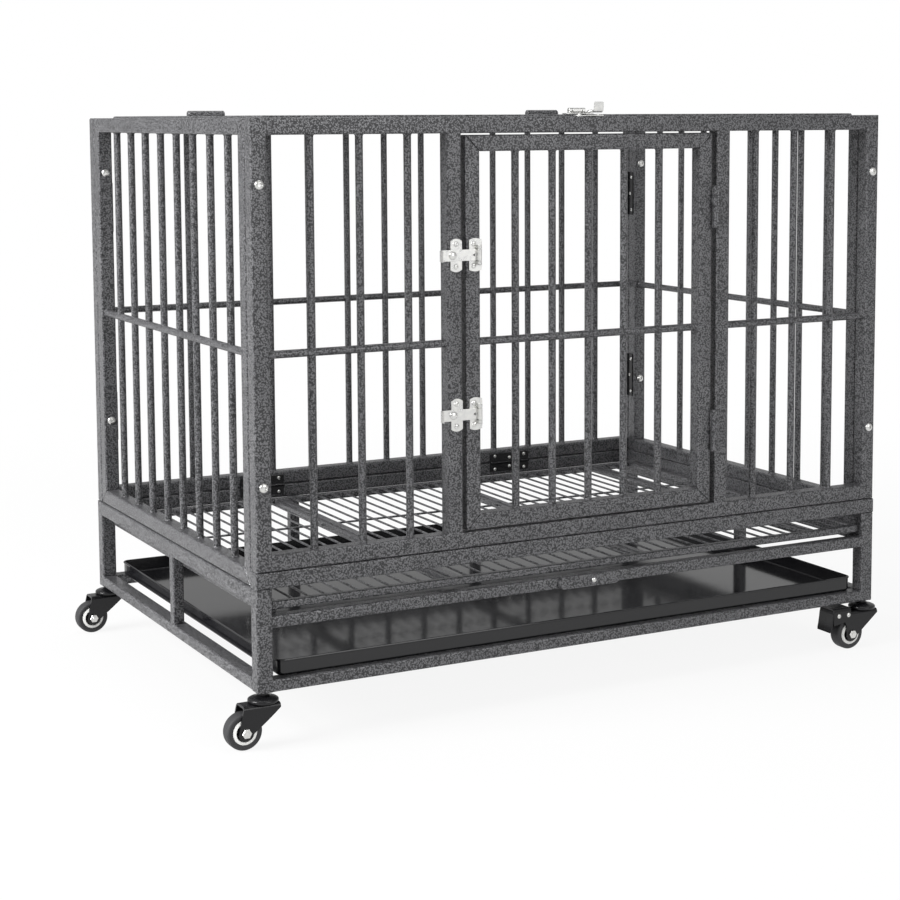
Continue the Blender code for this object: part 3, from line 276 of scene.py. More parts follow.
def spaced(low, high, count, width):
    """Middles of count bars with equal gaps from low to high: low + gap (i + 1) + width (i + 1/2)."""
    gap = (high - low - count * width) / (count + 1)
    return low + gap * np.arange(1, count + 1) + width * (np.arange(count) + 0.5)


def at(plane, a, b, c=0.0):
    """The point a across, b up and c out on a plane."""
    return plane[0] + a * plane[1] + b * plane[2] + c * plane[3]


def infill(plane, places, b_range, crossbar, crossbar_b):
    """Bars at their places between the rails, and crossbars (start, end) on their outer side."""
    bars = [round_bar(at(plane, a, b_range[0]), at(plane, a, b_range[1])) for a in places]
    bars += [round_bar(at(plane, a, crossbar_b, CROSSBAR_OUT), at(plane, b, crossbar_b, CROSSBAR_OUT))
             for a, b in crossbar]
    return bars


def box_of(node):
    """A CAD node's box as a pair of arrays."""
    return tuple(np.array(corner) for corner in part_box(node))


low, high = box_of("back_panel")
CROSSBAR_Z = (low[2] + high[2]) / 2
plane = np.array([(0, (low[1] + high[1]) / 2, 0), X, Z, Y])
shells = [mitred(plane, (low[0], high[0]), (low[2], high[2]), TUBE)]
shells += infill(plane, spaced(low[0] + TUBE, high[0] - TUBE, BACK_BARS, 2 * BAR_RADIUS),
                 (low[2] + TUBE, high[2] - TUBE), [(low[0] + TUBE, high[0] - TUBE)], CROSSBAR_Z)
make("back_grille", shells, hammertone, "frame", "back_panel")
for side_name, out in (("left", -X), ("right", X)):
    low, high = box_of(f"{side_name}_panel")
    plane = np.array([((low[0] + high[0]) / 2, 0, 0), Y, Z, out])
    shells = [mitred(plane, (low[1], high[1]), (low[2], high[2]), TUBE)]
    shells += infill(plane, spaced(low[1] + TUBE, high[1] - TUBE, SIDE_BARS, 2 * BAR_RADIUS),
                     (low[2] + TUBE, high[2] - TUBE), [(low[1] + TUBE, high[1] - TUBE)], CROSSBAR_Z)
    make(f"{side_name}_grille", shells, hammertone, "frame", f"{side_name}_panel")

# The front panel is one welded frame with two mullions that leave the doorway between them, and three
# bars each side of it. Its corners are ground smooth, so they show no seam.
MULLION_LEFT = centre_x - 0.206
MULLION_RIGHT = centre_x + 0.1905
FRONT_BAR_PITCH = 0.0636
BAY_BARS_SHIFT = 0.0035
DOORWAY_SHIFT = 0.00225
low, high = box_of("front_panel")
panel_top = high[2]
front_plane = np.array([(0, (low[1] + high[1]) / 2, 0), X, Z, -Y])
rails = (low[2] + TUBE, high[2] - TUBE)
shells = [mitred(front_plane, (low[0], high[0]), (low[2], high[2]), TUBE, 0.0004, 0.0)]
for x in (MULLION_LEFT + TUBE / 2, MULLION_RIGHT + TUBE / 2):
    shells.append(tube(at(front_plane, x, rails[0] - SUNK), at(front_plane, x, rails[1] + SUNK),
                       TUBE, TUBE, X))
bay = (MULLION_RIGHT - MULLION_LEFT) / 2 + TUBE / 2
bay_middle = (bay + high[0] - TUBE - centre_x) / 2 - BAY_BARS_SHIFT
doorway_x = centre_x + DOORWAY_SHIFT
places = [doorway_x + side * bay_middle + step * FRONT_BAR_PITCH for side in (-1, 1) for step in (-1, 0, 1)]
spans = [(low[0] + TUBE, MULLION_LEFT), (MULLION_RIGHT + TUBE, high[0] - TUBE)]
shells += infill(front_plane, places, rails, spans, CROSSBAR_Z)
make("front_grille", shells, hammertone, "frame", "front_panel")

# Button-headed bolts, zinc plated, clamp the front panel to the side panels, and from inside the cage
# the side panels to the back one. Each has a hexagon socket.
BOLT_HEAD_RADIUS = 0.0057
BOLT_HEAD_HEIGHT = 0.0030
BOLT_RADIUS = 0.0026


def square_to(axis):
    """Two unit vectors square to an axis and to each other."""
    aside = np.cross(axis, Z if abs(axis[2]) < 0.9 else X)
    aside = aside / np.linalg.norm(aside)
    return aside, np.cross(axis, aside)


def spun(profile, centre, axis, sides=24, closed=False):
    """A profile of (radius, height) turned round an axis: centre + height axis + radius (cos t, sin t)."""
    profile = np.array(profile, float)
    aside, up = square_to(np.array(axis, float))
    centres = np.array(centre) + profile[:, 1:] * np.array(axis, float)
    return carried(profile[:, :1, None] * circle_of(sides), centres, aside, up, closed)


def cloudy(name, slot, clouds, colours, sheen, grain=None, **shader_values):
    """A finish whose colour and roughness follow one soft noise of (size, detail), and whose bump may
    follow another of (size, detail, depth, strength)."""
    made, tree, shader, place = new_finish(name, slot, **shader_values)
    size, detail = clouds
    cloud = add(tree, "ShaderNodeTexNoise", {"Vector": place, "Scale": 1 / size, "Detail": detail})
    colour = add(tree, "ShaderNodeMix", {0: cloud.outputs["Fac"], 6: linear(colours[0]),
                                         7: linear(colours[1])}, data_type="RGBA")
    rough = add(tree, "ShaderNodeMapRange", {"Value": cloud.outputs["Fac"], "To Min": sheen[0],
                                             "To Max": sheen[1]})
    tree.links.new(colour.outputs[2], shader.inputs["Base Color"])
    tree.links.new(rough.outputs["Result"], shader.inputs["Roughness"])
    if grain:
        size, detail, depth, strength = grain
        grit = add(tree, "ShaderNodeTexNoise", {"Vector": place, "Scale": 1 / size, "Detail": detail})
        raised = add(tree, "ShaderNodeBump", {"Height": grit.outputs["Fac"], "Distance": depth,
                                              "Strength": strength})
        tree.links.new(raised.outputs["Normal"], shader.inputs["Normal"])
    return made


# Bright zinc plate on pressed steel: a thin electroplated layer that follows the steel, so it is a mirror
# gone slightly soft, with faint cloudy patches 6 mm across where the bath ran, and a 0.8 mm grain.
zinc = cloudy("zinc_plate_electroplated", "zinc_plate", (0.006, 3.0), ("c2c3c4", "e8e7e2"), (0.2, 0.38),
              (0.0008, 2.0, 0.00002, 0.5), Metallic=1.0)


def button_head(centre, axis, radius, height, sides=20):
    """A button head: a flattened dome round a socket that sinks half its height."""
    profile = [(radius * 0.9, -0.0002), (radius, 0.0003)]
    turn = np.radians([0, 22, 45, 65])
    profile += np.column_stack([radius * np.cos(turn) * 0.98, 0.25 * height
                                + 0.75 * height * np.sin(turn)]).tolist()
    profile += [(radius * 0.44, height), (radius * 0.40, height * 0.3), (0.0001, height * 0.25)]
    return spun(profile, centre, axis, sides)


for end in ("front", "rear"):
    for side_name in ("left", "right"):
        for level in ("lower", "upper"):
            node = f"bolt_{end}_{side_name}_{level}"
            low, high = box_of(node)
            middle = (low + high) / 2
            face = np.array((middle[0], low[1] + BOLT_HEAD_HEIGHT, middle[2]))
            shank = spun([(BOLT_RADIUS - 0.0002, 0.0001), (BOLT_RADIUS, 0.0005),
                          (BOLT_RADIUS, high[1] - face[1])], face, Y, 12)
            head = button_head(face, -Y, BOLT_HEAD_RADIUS, BOLT_HEAD_HEIGHT)
            make(node + "_head", [head, shank], zinc, "frame", node)

# Black butt hinges are folded from 1.5 mm strip round a pin. Four stand in the rear corners, opened flat
# across the side and back panels, and two lie across the seam between the back panel and the base. Each
# leaf has three countersunk screws in a zigzag.
LEAF_LENGTH = 0.070
LEAF_WIDTH = 0.0145
LEAF_THICKNESS = 0.0015
LEAF_CORNER = 0.0015
LEAF_GAP = 0.0003
KNUCKLE_RADIUS = 0.0025
KNUCKLE_RISE = 0.0002
LEAF_SCREW_PLACES = ((0.0105, -0.0265), (0.0070, 0.0), (0.0105, 0.0265))
LEAF_SCREW_RADIUS = 0.0026
LEAF_SCREW_HEIGHT = 0.0007
BASE_HINGE_RISE = 0.00025

# Black enamel on pressed steel, dipped: smooth and half glossy, with a slight orange peel 2.5 mm across
# and dusty patches of 30 mm that dull its shine. The latch arms also use it for a painted slot shade.
black = cloudy("black_enamel_dipped", "black_paint", (0.03, 5.0), ("101012", "1a1a1c"), (0.16, 0.32),
               (0.0025, 2.0, 0.00006, 0.4), Metallic=0.0, IOR=1.4)


def slab(outlines, levels, plane):
    """A plate between levels along out: one outline for each level, carried along the plane's out axis."""
    levels = np.array(levels, float)
    centres = plane[0] + levels[:, None] * plane[3]
    return carried(np.array(outlines), centres, plane[1], plane[2])


def plate(width, height, radius, thickness, plane, a=0.0, b=0.0, edge=0.0003):
    """A flat plate with rounded corners and eased edges, centred at (a, b) on the plane."""
    outlines = [rounded(width, height, radius, inset) for inset in (edge, 0, 0, edge)]
    moved = plane.copy()
    moved[0] = at(plane, a, b)
    return slab(outlines, (0, edge, thickness - edge, thickness), moved)


def hinge_leaf(plane, side, fingers):
    """A leaf beside the pin line b axis: a plate, and knuckles on its share of five fingers."""
    start = KNUCKLE_RADIUS * 0.4
    shells = [plate(LEAF_WIDTH - start, LEAF_LENGTH, LEAF_CORNER, LEAF_THICKNESS, plane,
                    side * (LEAF_WIDTH + start) / 2)]
    finger = LEAF_LENGTH / 5
    for number in fingers:
        low = -LEAF_LENGTH / 2 + finger * number + LEAF_GAP
        pivot = at(plane, 0, low, KNUCKLE_RADIUS + KNUCKLE_RISE)
        shells.append(spun([(KNUCKLE_RADIUS - 0.0003, 0), (KNUCKLE_RADIUS, 0.0003),
                            (KNUCKLE_RADIUS, finger - 0.0009), (KNUCKLE_RADIUS - 0.0003, finger - 0.0006)],
                           pivot, plane[2], 16))
    return shells


def leaf_screws(plane, side):
    """Three countersunk heads in a zigzag on a leaf."""
    return [button_head(at(plane, side * a, b, LEAF_THICKNESS), plane[3], LEAF_SCREW_RADIUS,
                        LEAF_SCREW_HEIGHT, 14) for a, b in LEAF_SCREW_PLACES]


back_low = box_of("back_panel")[0]
for side_name, wall, out in (("left", box_of("left_panel")[1][0] + LEAF_GAP, X),
                             ("right", box_of("right_panel")[0][0] - LEAF_GAP, -X)):
    for level in ("lower", "upper"):
        name = f"corner_hinge_{side_name}_{level}"
        low, high = box_of(name + "_side_leaf")
        plane = np.array([(wall, back_low[1], (low[2] + high[2]) / 2), Y, Z, out])
        make(name + "_front_plate", hinge_leaf(plane, -1, (0, 2, 4)), black, "frame", name + "_side_leaf")
        make(name + "_back_plate", hinge_leaf(plane, 1, (1, 3)), black, "frame", name + "_back_leaf")
        make(name + "_screws", leaf_screws(plane, -1) + leaf_screws(plane, 1), zinc, "frame")
for side_name in ("left", "right"):
    name = f"base_hinge_{side_name}"
    low, high = box_of(name)
    seam_z = side_top + BASE_HINGE_RISE
    plane = np.array([((low[0] + high[0]) / 2, back_low[1] - LEAF_GAP, seam_z), Z, X, -Y])
    shells = hinge_leaf(plane, -1, (0, 2, 4)) + hinge_leaf(plane, 1, (1, 3))
    make(name + "_plates", shells, black, "frame", name)
    make(name + "_screws", leaf_screws(plane, -1) + leaf_screws(plane, 1), zinc, "frame")

# The front door is a mitred tube frame, filled with five bars and a crossbar like the panels. It fills
# the doorway, flush with the front panel, and hangs on its right edge.
DOOR_BAR_PITCH = 0.0531
low, high = box_of("front_door")
door_left, door_right = low[0], high[0]
places = centre_x + DOOR_BAR_PITCH * np.arange(-2, 3)
shells = [mitred(front_plane, (low[0], high[0]), (low[2], high[2]), TUBE)]
shells += infill(front_plane, places, (low[2] + TUBE, high[2] - TUBE),
                 [(low[0] + TUBE, high[0] - TUBE)], CROSSBAR_Z)
make("door_grille", shells, hammertone, "front_door", "front_door")

# The lift-off hinges are turned barrels, one with a fixed pin and one bored to slip over it, welded
# along the edges of the tubes and painted with them.
BARREL_RADIUS = 0.0055
PIN_RADIUS = 0.0022
PIN_LENGTH = 0.016
HINGE_BREAK = 0.00015
WELD_ENDS = (0.15, 0.85)


def pin_barrel(centre, axis, length):
    """The barrel below the break, with the pin that stands out of it."""
    profile = [(BARREL_RADIUS - 0.0008, -length), (BARREL_RADIUS, -length + 0.0008),
               (BARREL_RADIUS, -0.0006), (BARREL_RADIUS - 0.0005, -0.0001), (PIN_RADIUS, -0.0001),
               (PIN_RADIUS, PIN_LENGTH)]
    return spun(profile, centre, axis)


def bored_barrel(centre, axis, length):
    """The barrel above the break: a closed profile round its bore, and a plug over the end."""
    bore = PIN_RADIUS + 0.0003
    profile = [(bore, 0.0001), (BARREL_RADIUS - 0.0005, 0.0001), (BARREL_RADIUS, 0.0006),
               (BARREL_RADIUS, length - 0.0008), (BARREL_RADIUS - 0.0008, length), (bore, length)]
    cap = [(bore, length - 0.003), (bore + 0.0002, length), (0.0002, length)]
    return [spun(profile, centre, axis, closed=True), spun(cap, centre, axis)]


def bead(start, end, radius=0.0013):
    """A weld bead: a thin rod whose radius ripples along it, from start to end."""
    start, end = np.array(start, float), np.array(end, float)
    steps = np.linspace(0, 1, 25)
    along = (end - start) / np.linalg.norm(end - start)
    aside, up = square_to(along)
    size = radius * (0.9 + 0.12 * np.sin(steps * 40)) * np.sqrt(np.clip(1 - (2 * steps - 1) ** 8, 0.05, 1))
    outlines = size[:, None, None] * circle_of(10)
    return carried(outlines, start + steps[:, None] * (end - start), aside, up)


front_face = box_of("front_panel")[0][1]
for level in ("lower", "upper"):
    name = f"door_hinge_{level}"
    low, high = box_of(name + "_frame_half")
    break_z = box_of(name + "_door_half")[0][2] - HINGE_BREAK
    pivot = np.array(((low[0] + high[0]) / 2, (low[1] + high[1]) / 2, break_z))
    length = break_z - low[2]
    frame_edge = np.array((2 * pivot[0] - door_right, front_face, 0))
    door_edge = np.array((door_right, front_face, 0))
    seam_near, seam_far = (length * share * Z for share in WELD_ENDS)
    welds = bead(frame_edge + break_z * Z - seam_far, frame_edge + break_z * Z - seam_near)
    make(name + "_pin_barrel", [pin_barrel(pivot, Z, length), welds], hammertone, "frame",
         name + "_frame_half")
    welds = bead(door_edge + break_z * Z + seam_near, door_edge + break_z * Z + seam_far)
    make(name + "_bored_barrel", bored_barrel(pivot, Z, length) + [welds], hammertone, "front_door",
         name + "_door_half")

# The roof lid is a mitred frame like the panels, with twelve bars from front to back and one across
# their upper side. It lies between the panels' top rails and hangs at the back.
LID_BARS = 12
low, high = box_of("roof_lid")
lid_top = high[2]
lid_front = low[1]
plane = np.array([(0, 0, (low[2] + high[2]) / 2), X, Y, Z])
shells = [mitred(plane, (low[0], high[0]), (low[1], high[1]), TUBE)]
shells += infill(plane, spaced(low[0] + TUBE, high[0] - TUBE, LID_BARS, 2 * BAR_RADIUS),
                 (low[1] + TUBE, high[1] - TUBE), [(low[0] + TUBE, high[0] - TUBE)],
                 (low[1] + high[1]) / 2)
make("lid_grille", shells, hammertone, "roof_lid", "roof_lid")
lid_edge = np.array((0, high[1], lid_top))
rail_edge = np.array((0, back_low[1], panel_top))
for side_name in ("left", "right"):
    name = f"lid_hinge_{side_name}"
    low, high = box_of(name + "_frame_half")
    middle = (low + high) / 2
    break_x = box_of(name + "_lid_half")[1][0] + HINGE_BREAK
    length = high[0] - break_x
    pivot = np.array((break_x, middle[1], middle[2]))
    seam_near, seam_far = (length * share for share in WELD_ENDS)
    weld = bead(rail_edge + (break_x + seam_near) * X, rail_edge + (break_x + seam_far) * X)
    make(name + "_pin_barrel", [pin_barrel(pivot, -X, length), weld], hammertone, "frame",
         name + "_frame_half")
    weld = bead(lid_edge + (break_x - seam_far) * X, lid_edge + (break_x - seam_near) * X)
    make(name + "_bored_barrel", bored_barrel(pivot, -X, length) + [weld], hammertone, "roof_lid",
         name + "_lid_half")

# Each latch is pressed from 1.2 mm steel and zinc plated: a door plate folded over the tube's inner edge,
# with two ears that hold a pin; an arm that turns on it, with a pressed dome and a lifted lip; and a
# keeper plate under the lip. Two round-headed screws hold each plate.
SHEET = 0.0012
GAP = 0.0003
EASED = 0.0003
LATCH_SETBACK = 0.0043
LATCH_AXIS = 0.0050
LATCH_BARREL = 0.0032
LATCH_PIN = 0.0014
LATCH_LENGTH = 0.041
LATCH_PLATE_WIDTH = 0.016
LATCH_ARM_WIDTH = 0.014
LATCH_REACH = 0.0155
FLANGE_LENGTH = 0.033
FLANGE_DEPTH = 0.0085
FLANGE_SINK = 0.0036
EAR_WIDTH = 0.0045
EAR_FOOT_DROP = 0.0048
LIP_RUN = 0.0115
LIP_BEND = 0.0045
DOME_RADIUS = 0.0053
DOME_HEIGHT = 0.0026
DOME_SETBACK = 0.0024
SCREW_RADIUS = 0.0034
SCREW_HEIGHT = 0.0016


def bowed_plate(width, rise, plane, a=0.0, c=0.0, steps=10):
    """A plate at (a, c) on the plane with eased edges and bowed ends, b = length/2 - rise (2a/width)^2."""
    across = np.linspace(-1, 1, steps)
    outlines = []
    for inset in (EASED, 0, 0, EASED):
        ends = LATCH_LENGTH / 2 - inset - rise * across ** 2
        upper = np.column_stack([-across * (width / 2 - inset), ends])
        outlines.append(np.concatenate([upper, -upper]))
    moved = plane.copy()
    moved[0] = at(plane, a, 0, c)
    return slab(outlines, (0, EASED, SHEET - EASED, SHEET), moved)


def screw_pair(name, a, b, c, plane, body):
    """Two round screw heads at (a, b, c) and (a, -b, c) on a plane."""
    heads = [button_head(at(plane, a, side * b, c), plane[3], SCREW_RADIUS, SCREW_HEIGHT, 18)
             for side in (-1, 1)]
    make(name, heads, zinc, body)


def latch_plate(name, plane, body):
    """The door plate: its face, the flange folded behind the tube, two ears on feet, and the pin."""
    fold = -LATCH_SETBACK - GAP
    shells = [bowed_plate(LATCH_PLATE_WIDTH + SHEET, 0.0022, plane, fold + LATCH_PLATE_WIDTH / 2, GAP)]
    ends = [at(plane, fold - SHEET / 2, side * FLANGE_LENGTH / 2, GAP - FLANGE_SINK) for side in (-1, 1)]
    shells.append(tube(*ends, SHEET, FLANGE_DEPTH, plane[1], EASED))
    for side in (-1, 1):
        start = at(plane, 0, side * (LATCH_ARM_WIDTH / 2 + 0.0006), LATCH_AXIS)
        shells.append(spun([(LATCH_PIN, 0), (LATCH_BARREL - 0.0004, 0), (LATCH_BARREL, 0.0004),
                            (LATCH_BARREL, EAR_WIDTH - 0.0005), (LATCH_BARREL - 0.0005, EAR_WIDTH),
                            (LATCH_PIN, EAR_WIDTH)], start, side * plane[2], closed=True))
        foot = start - EAR_FOOT_DROP * plane[3]
        shells.append(tube(foot + 0.0002 * side * plane[2], foot + (EAR_WIDTH - 0.0003) * side * plane[2],
                           0.0052, 0.0060, plane[1], 0.0008))
    pin = LATCH_ARM_WIDTH / 2 + EAR_WIDTH + 0.0011
    shells.append(spun([(LATCH_PIN - EASED, -pin), (LATCH_PIN, EASED - pin), (LATCH_PIN, pin - EASED),
                        (LATCH_PIN - EASED, pin)], at(plane, 0, 0, LATCH_AXIS), plane[2], 14))
    make(name + "_door_plate", shells, zinc, body, name + "_plate")
    screw_pair(name + "_door_screws", 0.0058, 0.0135, GAP + SHEET, plane, body)


def headings(path):
    """The unit direction of a flat path at each of its points."""
    run = np.gradient(path, axis=0)
    return run / np.linalg.norm(run, axis=1, keepdims=True)


def arc(start, stop, count):
    """Points (cos t, sin t) on the unit circle, with t in degrees."""
    turn = np.radians(np.linspace(start, stop, count))
    return np.column_stack([np.cos(turn), np.sin(turn)])


def latch_arm(name, plane, lip_a, body):
    """The arm: a strip carried along a, up the lip's arc and out, with its barrel and dome, and a black
    patch of painted slot shade.
    """
    strip_c = GAP + SHEET + 0.0006 + SHEET / 2
    bend_a = lip_a + LIP_RUN
    rise = arc(0, 75, 8)
    bend = np.column_stack([bend_a + LIP_BEND * rise[:, 1], strip_c + LIP_BEND * (1 - rise[:, 0])])
    path = np.concatenate([[(0.0018, strip_c), (0.0030, strip_c)], bend,
                           [(bend_a + LIP_BEND + 0.0008, LATCH_REACH - 0.0008),
                            (bend_a + LIP_BEND + 0.0010, LATCH_REACH - 0.0003)]])
    run = headings(path)
    out_of = run[:, :1] * plane[3] - run[:, 1:] * plane[1]
    widths = LATCH_ARM_WIDTH - np.concatenate([np.zeros(len(path) - 2), [0.0004, 0.0030]])
    outlines = [rounded(width, SHEET, 0.0004) for width in widths]
    centres = plane[0] + path[:, :1] * plane[1] + path[:, 1:] * plane[3]
    half, bore = LATCH_ARM_WIDTH / 2, LATCH_PIN + GAP
    barrel = [(bore, -half), (LATCH_BARREL - 0.0004, -half), (LATCH_BARREL, 0.0004 - half),
              (LATCH_BARREL, half - 0.0004), (LATCH_BARREL - 0.0004, half), (bore, half)]
    dome = (0, SHEET / 2 - 0.0002) + arc(0, 85, 7) * (DOME_RADIUS, DOME_HEIGHT)
    dome = np.concatenate([[(DOME_RADIUS, -0.0002)], dome])
    make(name + "_spring_arm", [carried(outlines, centres, plane[2], out_of),
                                spun(barrel, at(plane, 0, 0, LATCH_AXIS), plane[2], closed=True),
                                spun(dome, at(plane, lip_a - DOME_SETBACK, 0, strip_c), plane[3])],
         zinc, body, name + "_arm")
    # A black three-sided patch on the arm's face is painted shade standing for a slot; the arm itself is
    # not cut.
    slot = spun([(0.0021, -0.0003), (0.0021, 0.0001), (0.0001, 0.0001)],
                at(plane, LATCH_BARREL + 0.0028, 0, strip_c + SHEET / 2), plane[3], 3)
    make(name + "_slot_painted_shade", [slot], black, body)


def latch(name, plane, keeper_a, keeper_drop, door_body, arm_body):
    """One latch: a runs towards the lip, b along the pin, and out leaves the face."""
    latch_plate(name, plane, door_body)
    keeper_c = GAP - keeper_drop
    keeper_middle = keeper_a + LATCH_PLATE_WIDTH / 2
    make(name + "_keeper_plate", [bowed_plate(LATCH_PLATE_WIDTH, 0.0030, plane, keeper_middle, keeper_c)],
         zinc, "frame", name + "_keeper")
    screw_pair(name + "_keeper_screws", keeper_middle + 0.0006, 0.0140, keeper_c + SHEET, plane, "frame")
    latch_arm(name, plane, keeper_a + LATCH_PLATE_WIDTH + GAP, arm_body)


for level in ("lower", "upper"):
    low, high = box_of(f"latch_{level}_plate")
    hinge_a = door_left + TUBE - LATCH_SETBACK
    plane = np.array([(hinge_a, front_face, (low[2] + high[2]) / 2), -X, Z, -Y])
    keeper_edge = box_of(f"latch_{level}_keeper")[1][0]
    latch(f"latch_{level}", plane, hinge_a - keeper_edge, 0.0, "front_door", f"{level}_latch")
low, high = box_of("latch_roof_plate")
keeper_edge = box_of("latch_roof_keeper")[1][1]
hinge_y = lid_front + TUBE - LATCH_SETBACK
plane = np.array([((low[0] + high[0]) / 2, hinge_y, lid_top), -Y, X, Z])
latch("latch_roof", plane, hinge_y - keeper_edge, lid_top - panel_top, "roof_lid", "roof_latch")

# The floor grate draws out of the base on its runners. A 10 mm tube frame carries three flat members
# under 3 mm wires that run from front to back, and one wire crosses below them.
GRATE_FRAME = 0.010
MEMBER_START = 0.073
MEMBER_PITCH = 0.2775
MEMBER_WIDTH = 0.020
MEMBER_HEIGHT = 0.0072
MEMBER_RISE = 0.0039
WIRE_COUNT = 39
WIRE_RADIUS = 0.0015
WIRE_WELD = 0.0004
CROSS_WIRE_SHIFT = 0.083
CROSS_WIRE_DROP = 0.0021
low, high = box_of("floor_grate")
plane = np.array([(0, 0, low[2] + GRATE_FRAME / 2), X, Y, Z])
shells = [mitred(plane, (low[0], high[0]), (low[1], high[1]), GRATE_FRAME, 0.0005, 0.0003)]
inside = (low[1] + GRATE_FRAME / 2, high[1] - GRATE_FRAME / 2)
z = low[2] + MEMBER_RISE
for x in high[0] - MEMBER_START - MEMBER_PITCH * np.arange(3):
    shells.append(tube((x, inside[0], z), (x, inside[1], z), MEMBER_WIDTH, MEMBER_HEIGHT, X, 0.001))
z = high[2] - WIRE_RADIUS - 0.0003
for x in spaced(low[0] + GRATE_FRAME, high[0] - GRATE_FRAME, WIRE_COUNT, 2 * WIRE_RADIUS):
    shells.append(round_bar((x, inside[0] + 0.0045, z), (x, inside[1] - 0.0045, z), WIRE_RADIUS,
                            WIRE_WELD, 10))
y, z = centre_y + CROSS_WIRE_SHIFT, z - CROSS_WIRE_DROP
shells.append(round_bar((low[0] + 0.0095, y, z), (high[0] - 0.0095, y, z), WIRE_RADIUS, WIRE_WELD, 10))
make("grate_wires_and_frame", shells, hammertone, "grate", "floor_grate")

# The tray is pressed from thin sheet and enamelled black: a flat floor, walls with a small bend at their
# foot, and a rolled rim. It lies on the bottom rails and pulls out at the front.
TRAY_CORNER = 0.009
TRAY_WALL = 0.0015
TRAY_BEND = 0.003
TRAY_FLOOR_RING = 0.050

# Stoved black enamel, flooded on sheet steel: smooth and glossy enough to show the bars as dark streaks,
# which long shallow waves in the sheet bend a little.
tray_enamel = cloudy("black_enamel_flooded", "tray_black", (0.004, 4.0), ("0e0e10", "17171a"), (0.06, 0.14),
                     (0.12, 2.0, 0.0006, 0.5), Metallic=0.0, IOR=1.5)

low, high = box_of("tray")
middle = (low + high) / 2
length, depth, height = high - low
bend = 1 - arc(0, 90, 5)[:, ::-1]
rim = [(0.0, height - 0.0030), (-0.0009, height - 0.0024), (-0.0012, height - 0.0012),
       (-0.0007, height - 0.0003), (0.0004, height), (0.0013, height - 0.0005),
       (TRAY_WALL, height - 0.0014)]
profile = np.concatenate([[(TRAY_FLOOR_RING, 0.0)], TRAY_BEND * bend, rim,
                          TRAY_WALL + (TRAY_BEND - TRAY_WALL) * bend[::-1], [(TRAY_FLOOR_RING, TRAY_WALL)]])
outlines = [rounded(length - 2 * inset, depth - 2 * inset, max(TRAY_CORNER - inset, 0.0005), steps=6)
            for inset in profile[:, 0]]
centres = np.array((middle[0], middle[1], low[2])) + profile[:, 1:] * Z
make("tray_pan", [carried(outlines, centres, X, Y)], tray_enamel, "tray", "tray")

# The retainer is a flat bar with round ends. It turns on a zinc screw in the middle rail to keep the
# grate and the tray in.
RETAINER_HEAD_RADIUS = 0.0033
RETAINER_HEAD_HEIGHT = 0.0018
low, high = box_of("retainer_bar")
middle = (low + high) / 2
length, thickness, width = high - low
plane = np.array([(middle[0], high[1], middle[2]), X, Z, -Y])
outlines = [rounded(length, width, width / 2 - 0.00001, inset, 10)
            for inset in (0.0008, 0, 0, 0.0003, 0.0010)]
bar = slab(outlines, (0, 0.0008, thickness - 0.0010, thickness - 0.0003, thickness), plane)
make("retainer_flat_bar", [bar], hammertone, "retainer", "retainer_bar")
low, high = box_of("retainer_screw")
middle = (low + high) / 2
face = np.array((middle[0], low[1] + RETAINER_HEAD_HEIGHT, middle[2]))
head = button_head(face, -Y, RETAINER_HEAD_RADIUS, RETAINER_HEAD_HEIGHT)
shank = spun([(0.0017, 0.0001), (0.0019, 0.0004), (0.0019, high[1] - face[1])], face, Y, 12)
make("retainer_screw_head", [head, shank], zinc, "frame", "retainer_screw")

# Four swivel casters: a fixed raceway cap under the corner, a pressed fork that trails behind it, and a
# solid rubber wheel with a pale ring on its moulded centre, on a nutted axle.
WHEEL_RADIUS = 0.0225
CASTER_TRAIL = 0.0265
FORK_TOP = bottom - 0.0120
FORK_HALF = 0.013
FORK_EYE = 0.0095
FORK_FRONT = 0.0175
FORK_BACK = -0.0285
FORK_EAR = -0.041
FORK_SHEET = 0.0023
FORK_CORNER = 0.0045
FLANK_TURN = 13.4
CAP_RADIUS = 0.01875
CAP_RISE = 0.0048
TYRE_SHOULDER = (0.0188, 0.0056)
TYRE_ROUNDING = 0.0034

# Tyre rubber, moulded: matt dark grey with a faint bloom in patches of 10 mm and a fine mould grain.
rubber = cloudy("tyre_rubber_moulded", "grey_tyre", (0.01, 5.0), ("232325", "39393b"), (0.55, 0.8),
                (0.01, 5.0, 0.0001, 0.4), Metallic=0.0, IOR=1.52)

# White polypropylene, moulded: soft gloss, slightly cloudy.
pale = cloudy("white_polypropylene_moulded", "grey_tyre", (0.008, 3.0), ("e6e6e4", "f5f5f2"), (0.32, 0.5),
              Metallic=0.0, IOR=1.49)


def channel(x, low_z, top_z, half, sheet, origin):
    """A pressed channel: an upside-down U in (y, z), whose two legs end at low_z, carried along x."""
    middle = (half - FORK_CORNER, top_z - FORK_CORNER)
    outer = np.concatenate([[(half, np.nan)], middle + FORK_CORNER * arc(0, 90, 5)])
    inner = np.concatenate([[(half - sheet, np.nan)], middle + (FORK_CORNER - sheet) * arc(0, 90, 5)])
    outline = np.concatenate([outer, outer[::-1] * (-1, 1), inner * (-1, 1), inner[::-1]])
    outlines = np.repeat(outline[None], len(x), axis=0)
    feet = np.isnan(outline[:, 1])
    outlines[:, feet, 1] = np.asarray(low_z)[:, None]
    return carried(outlines, origin + x[:, None] * X, Y, Z)


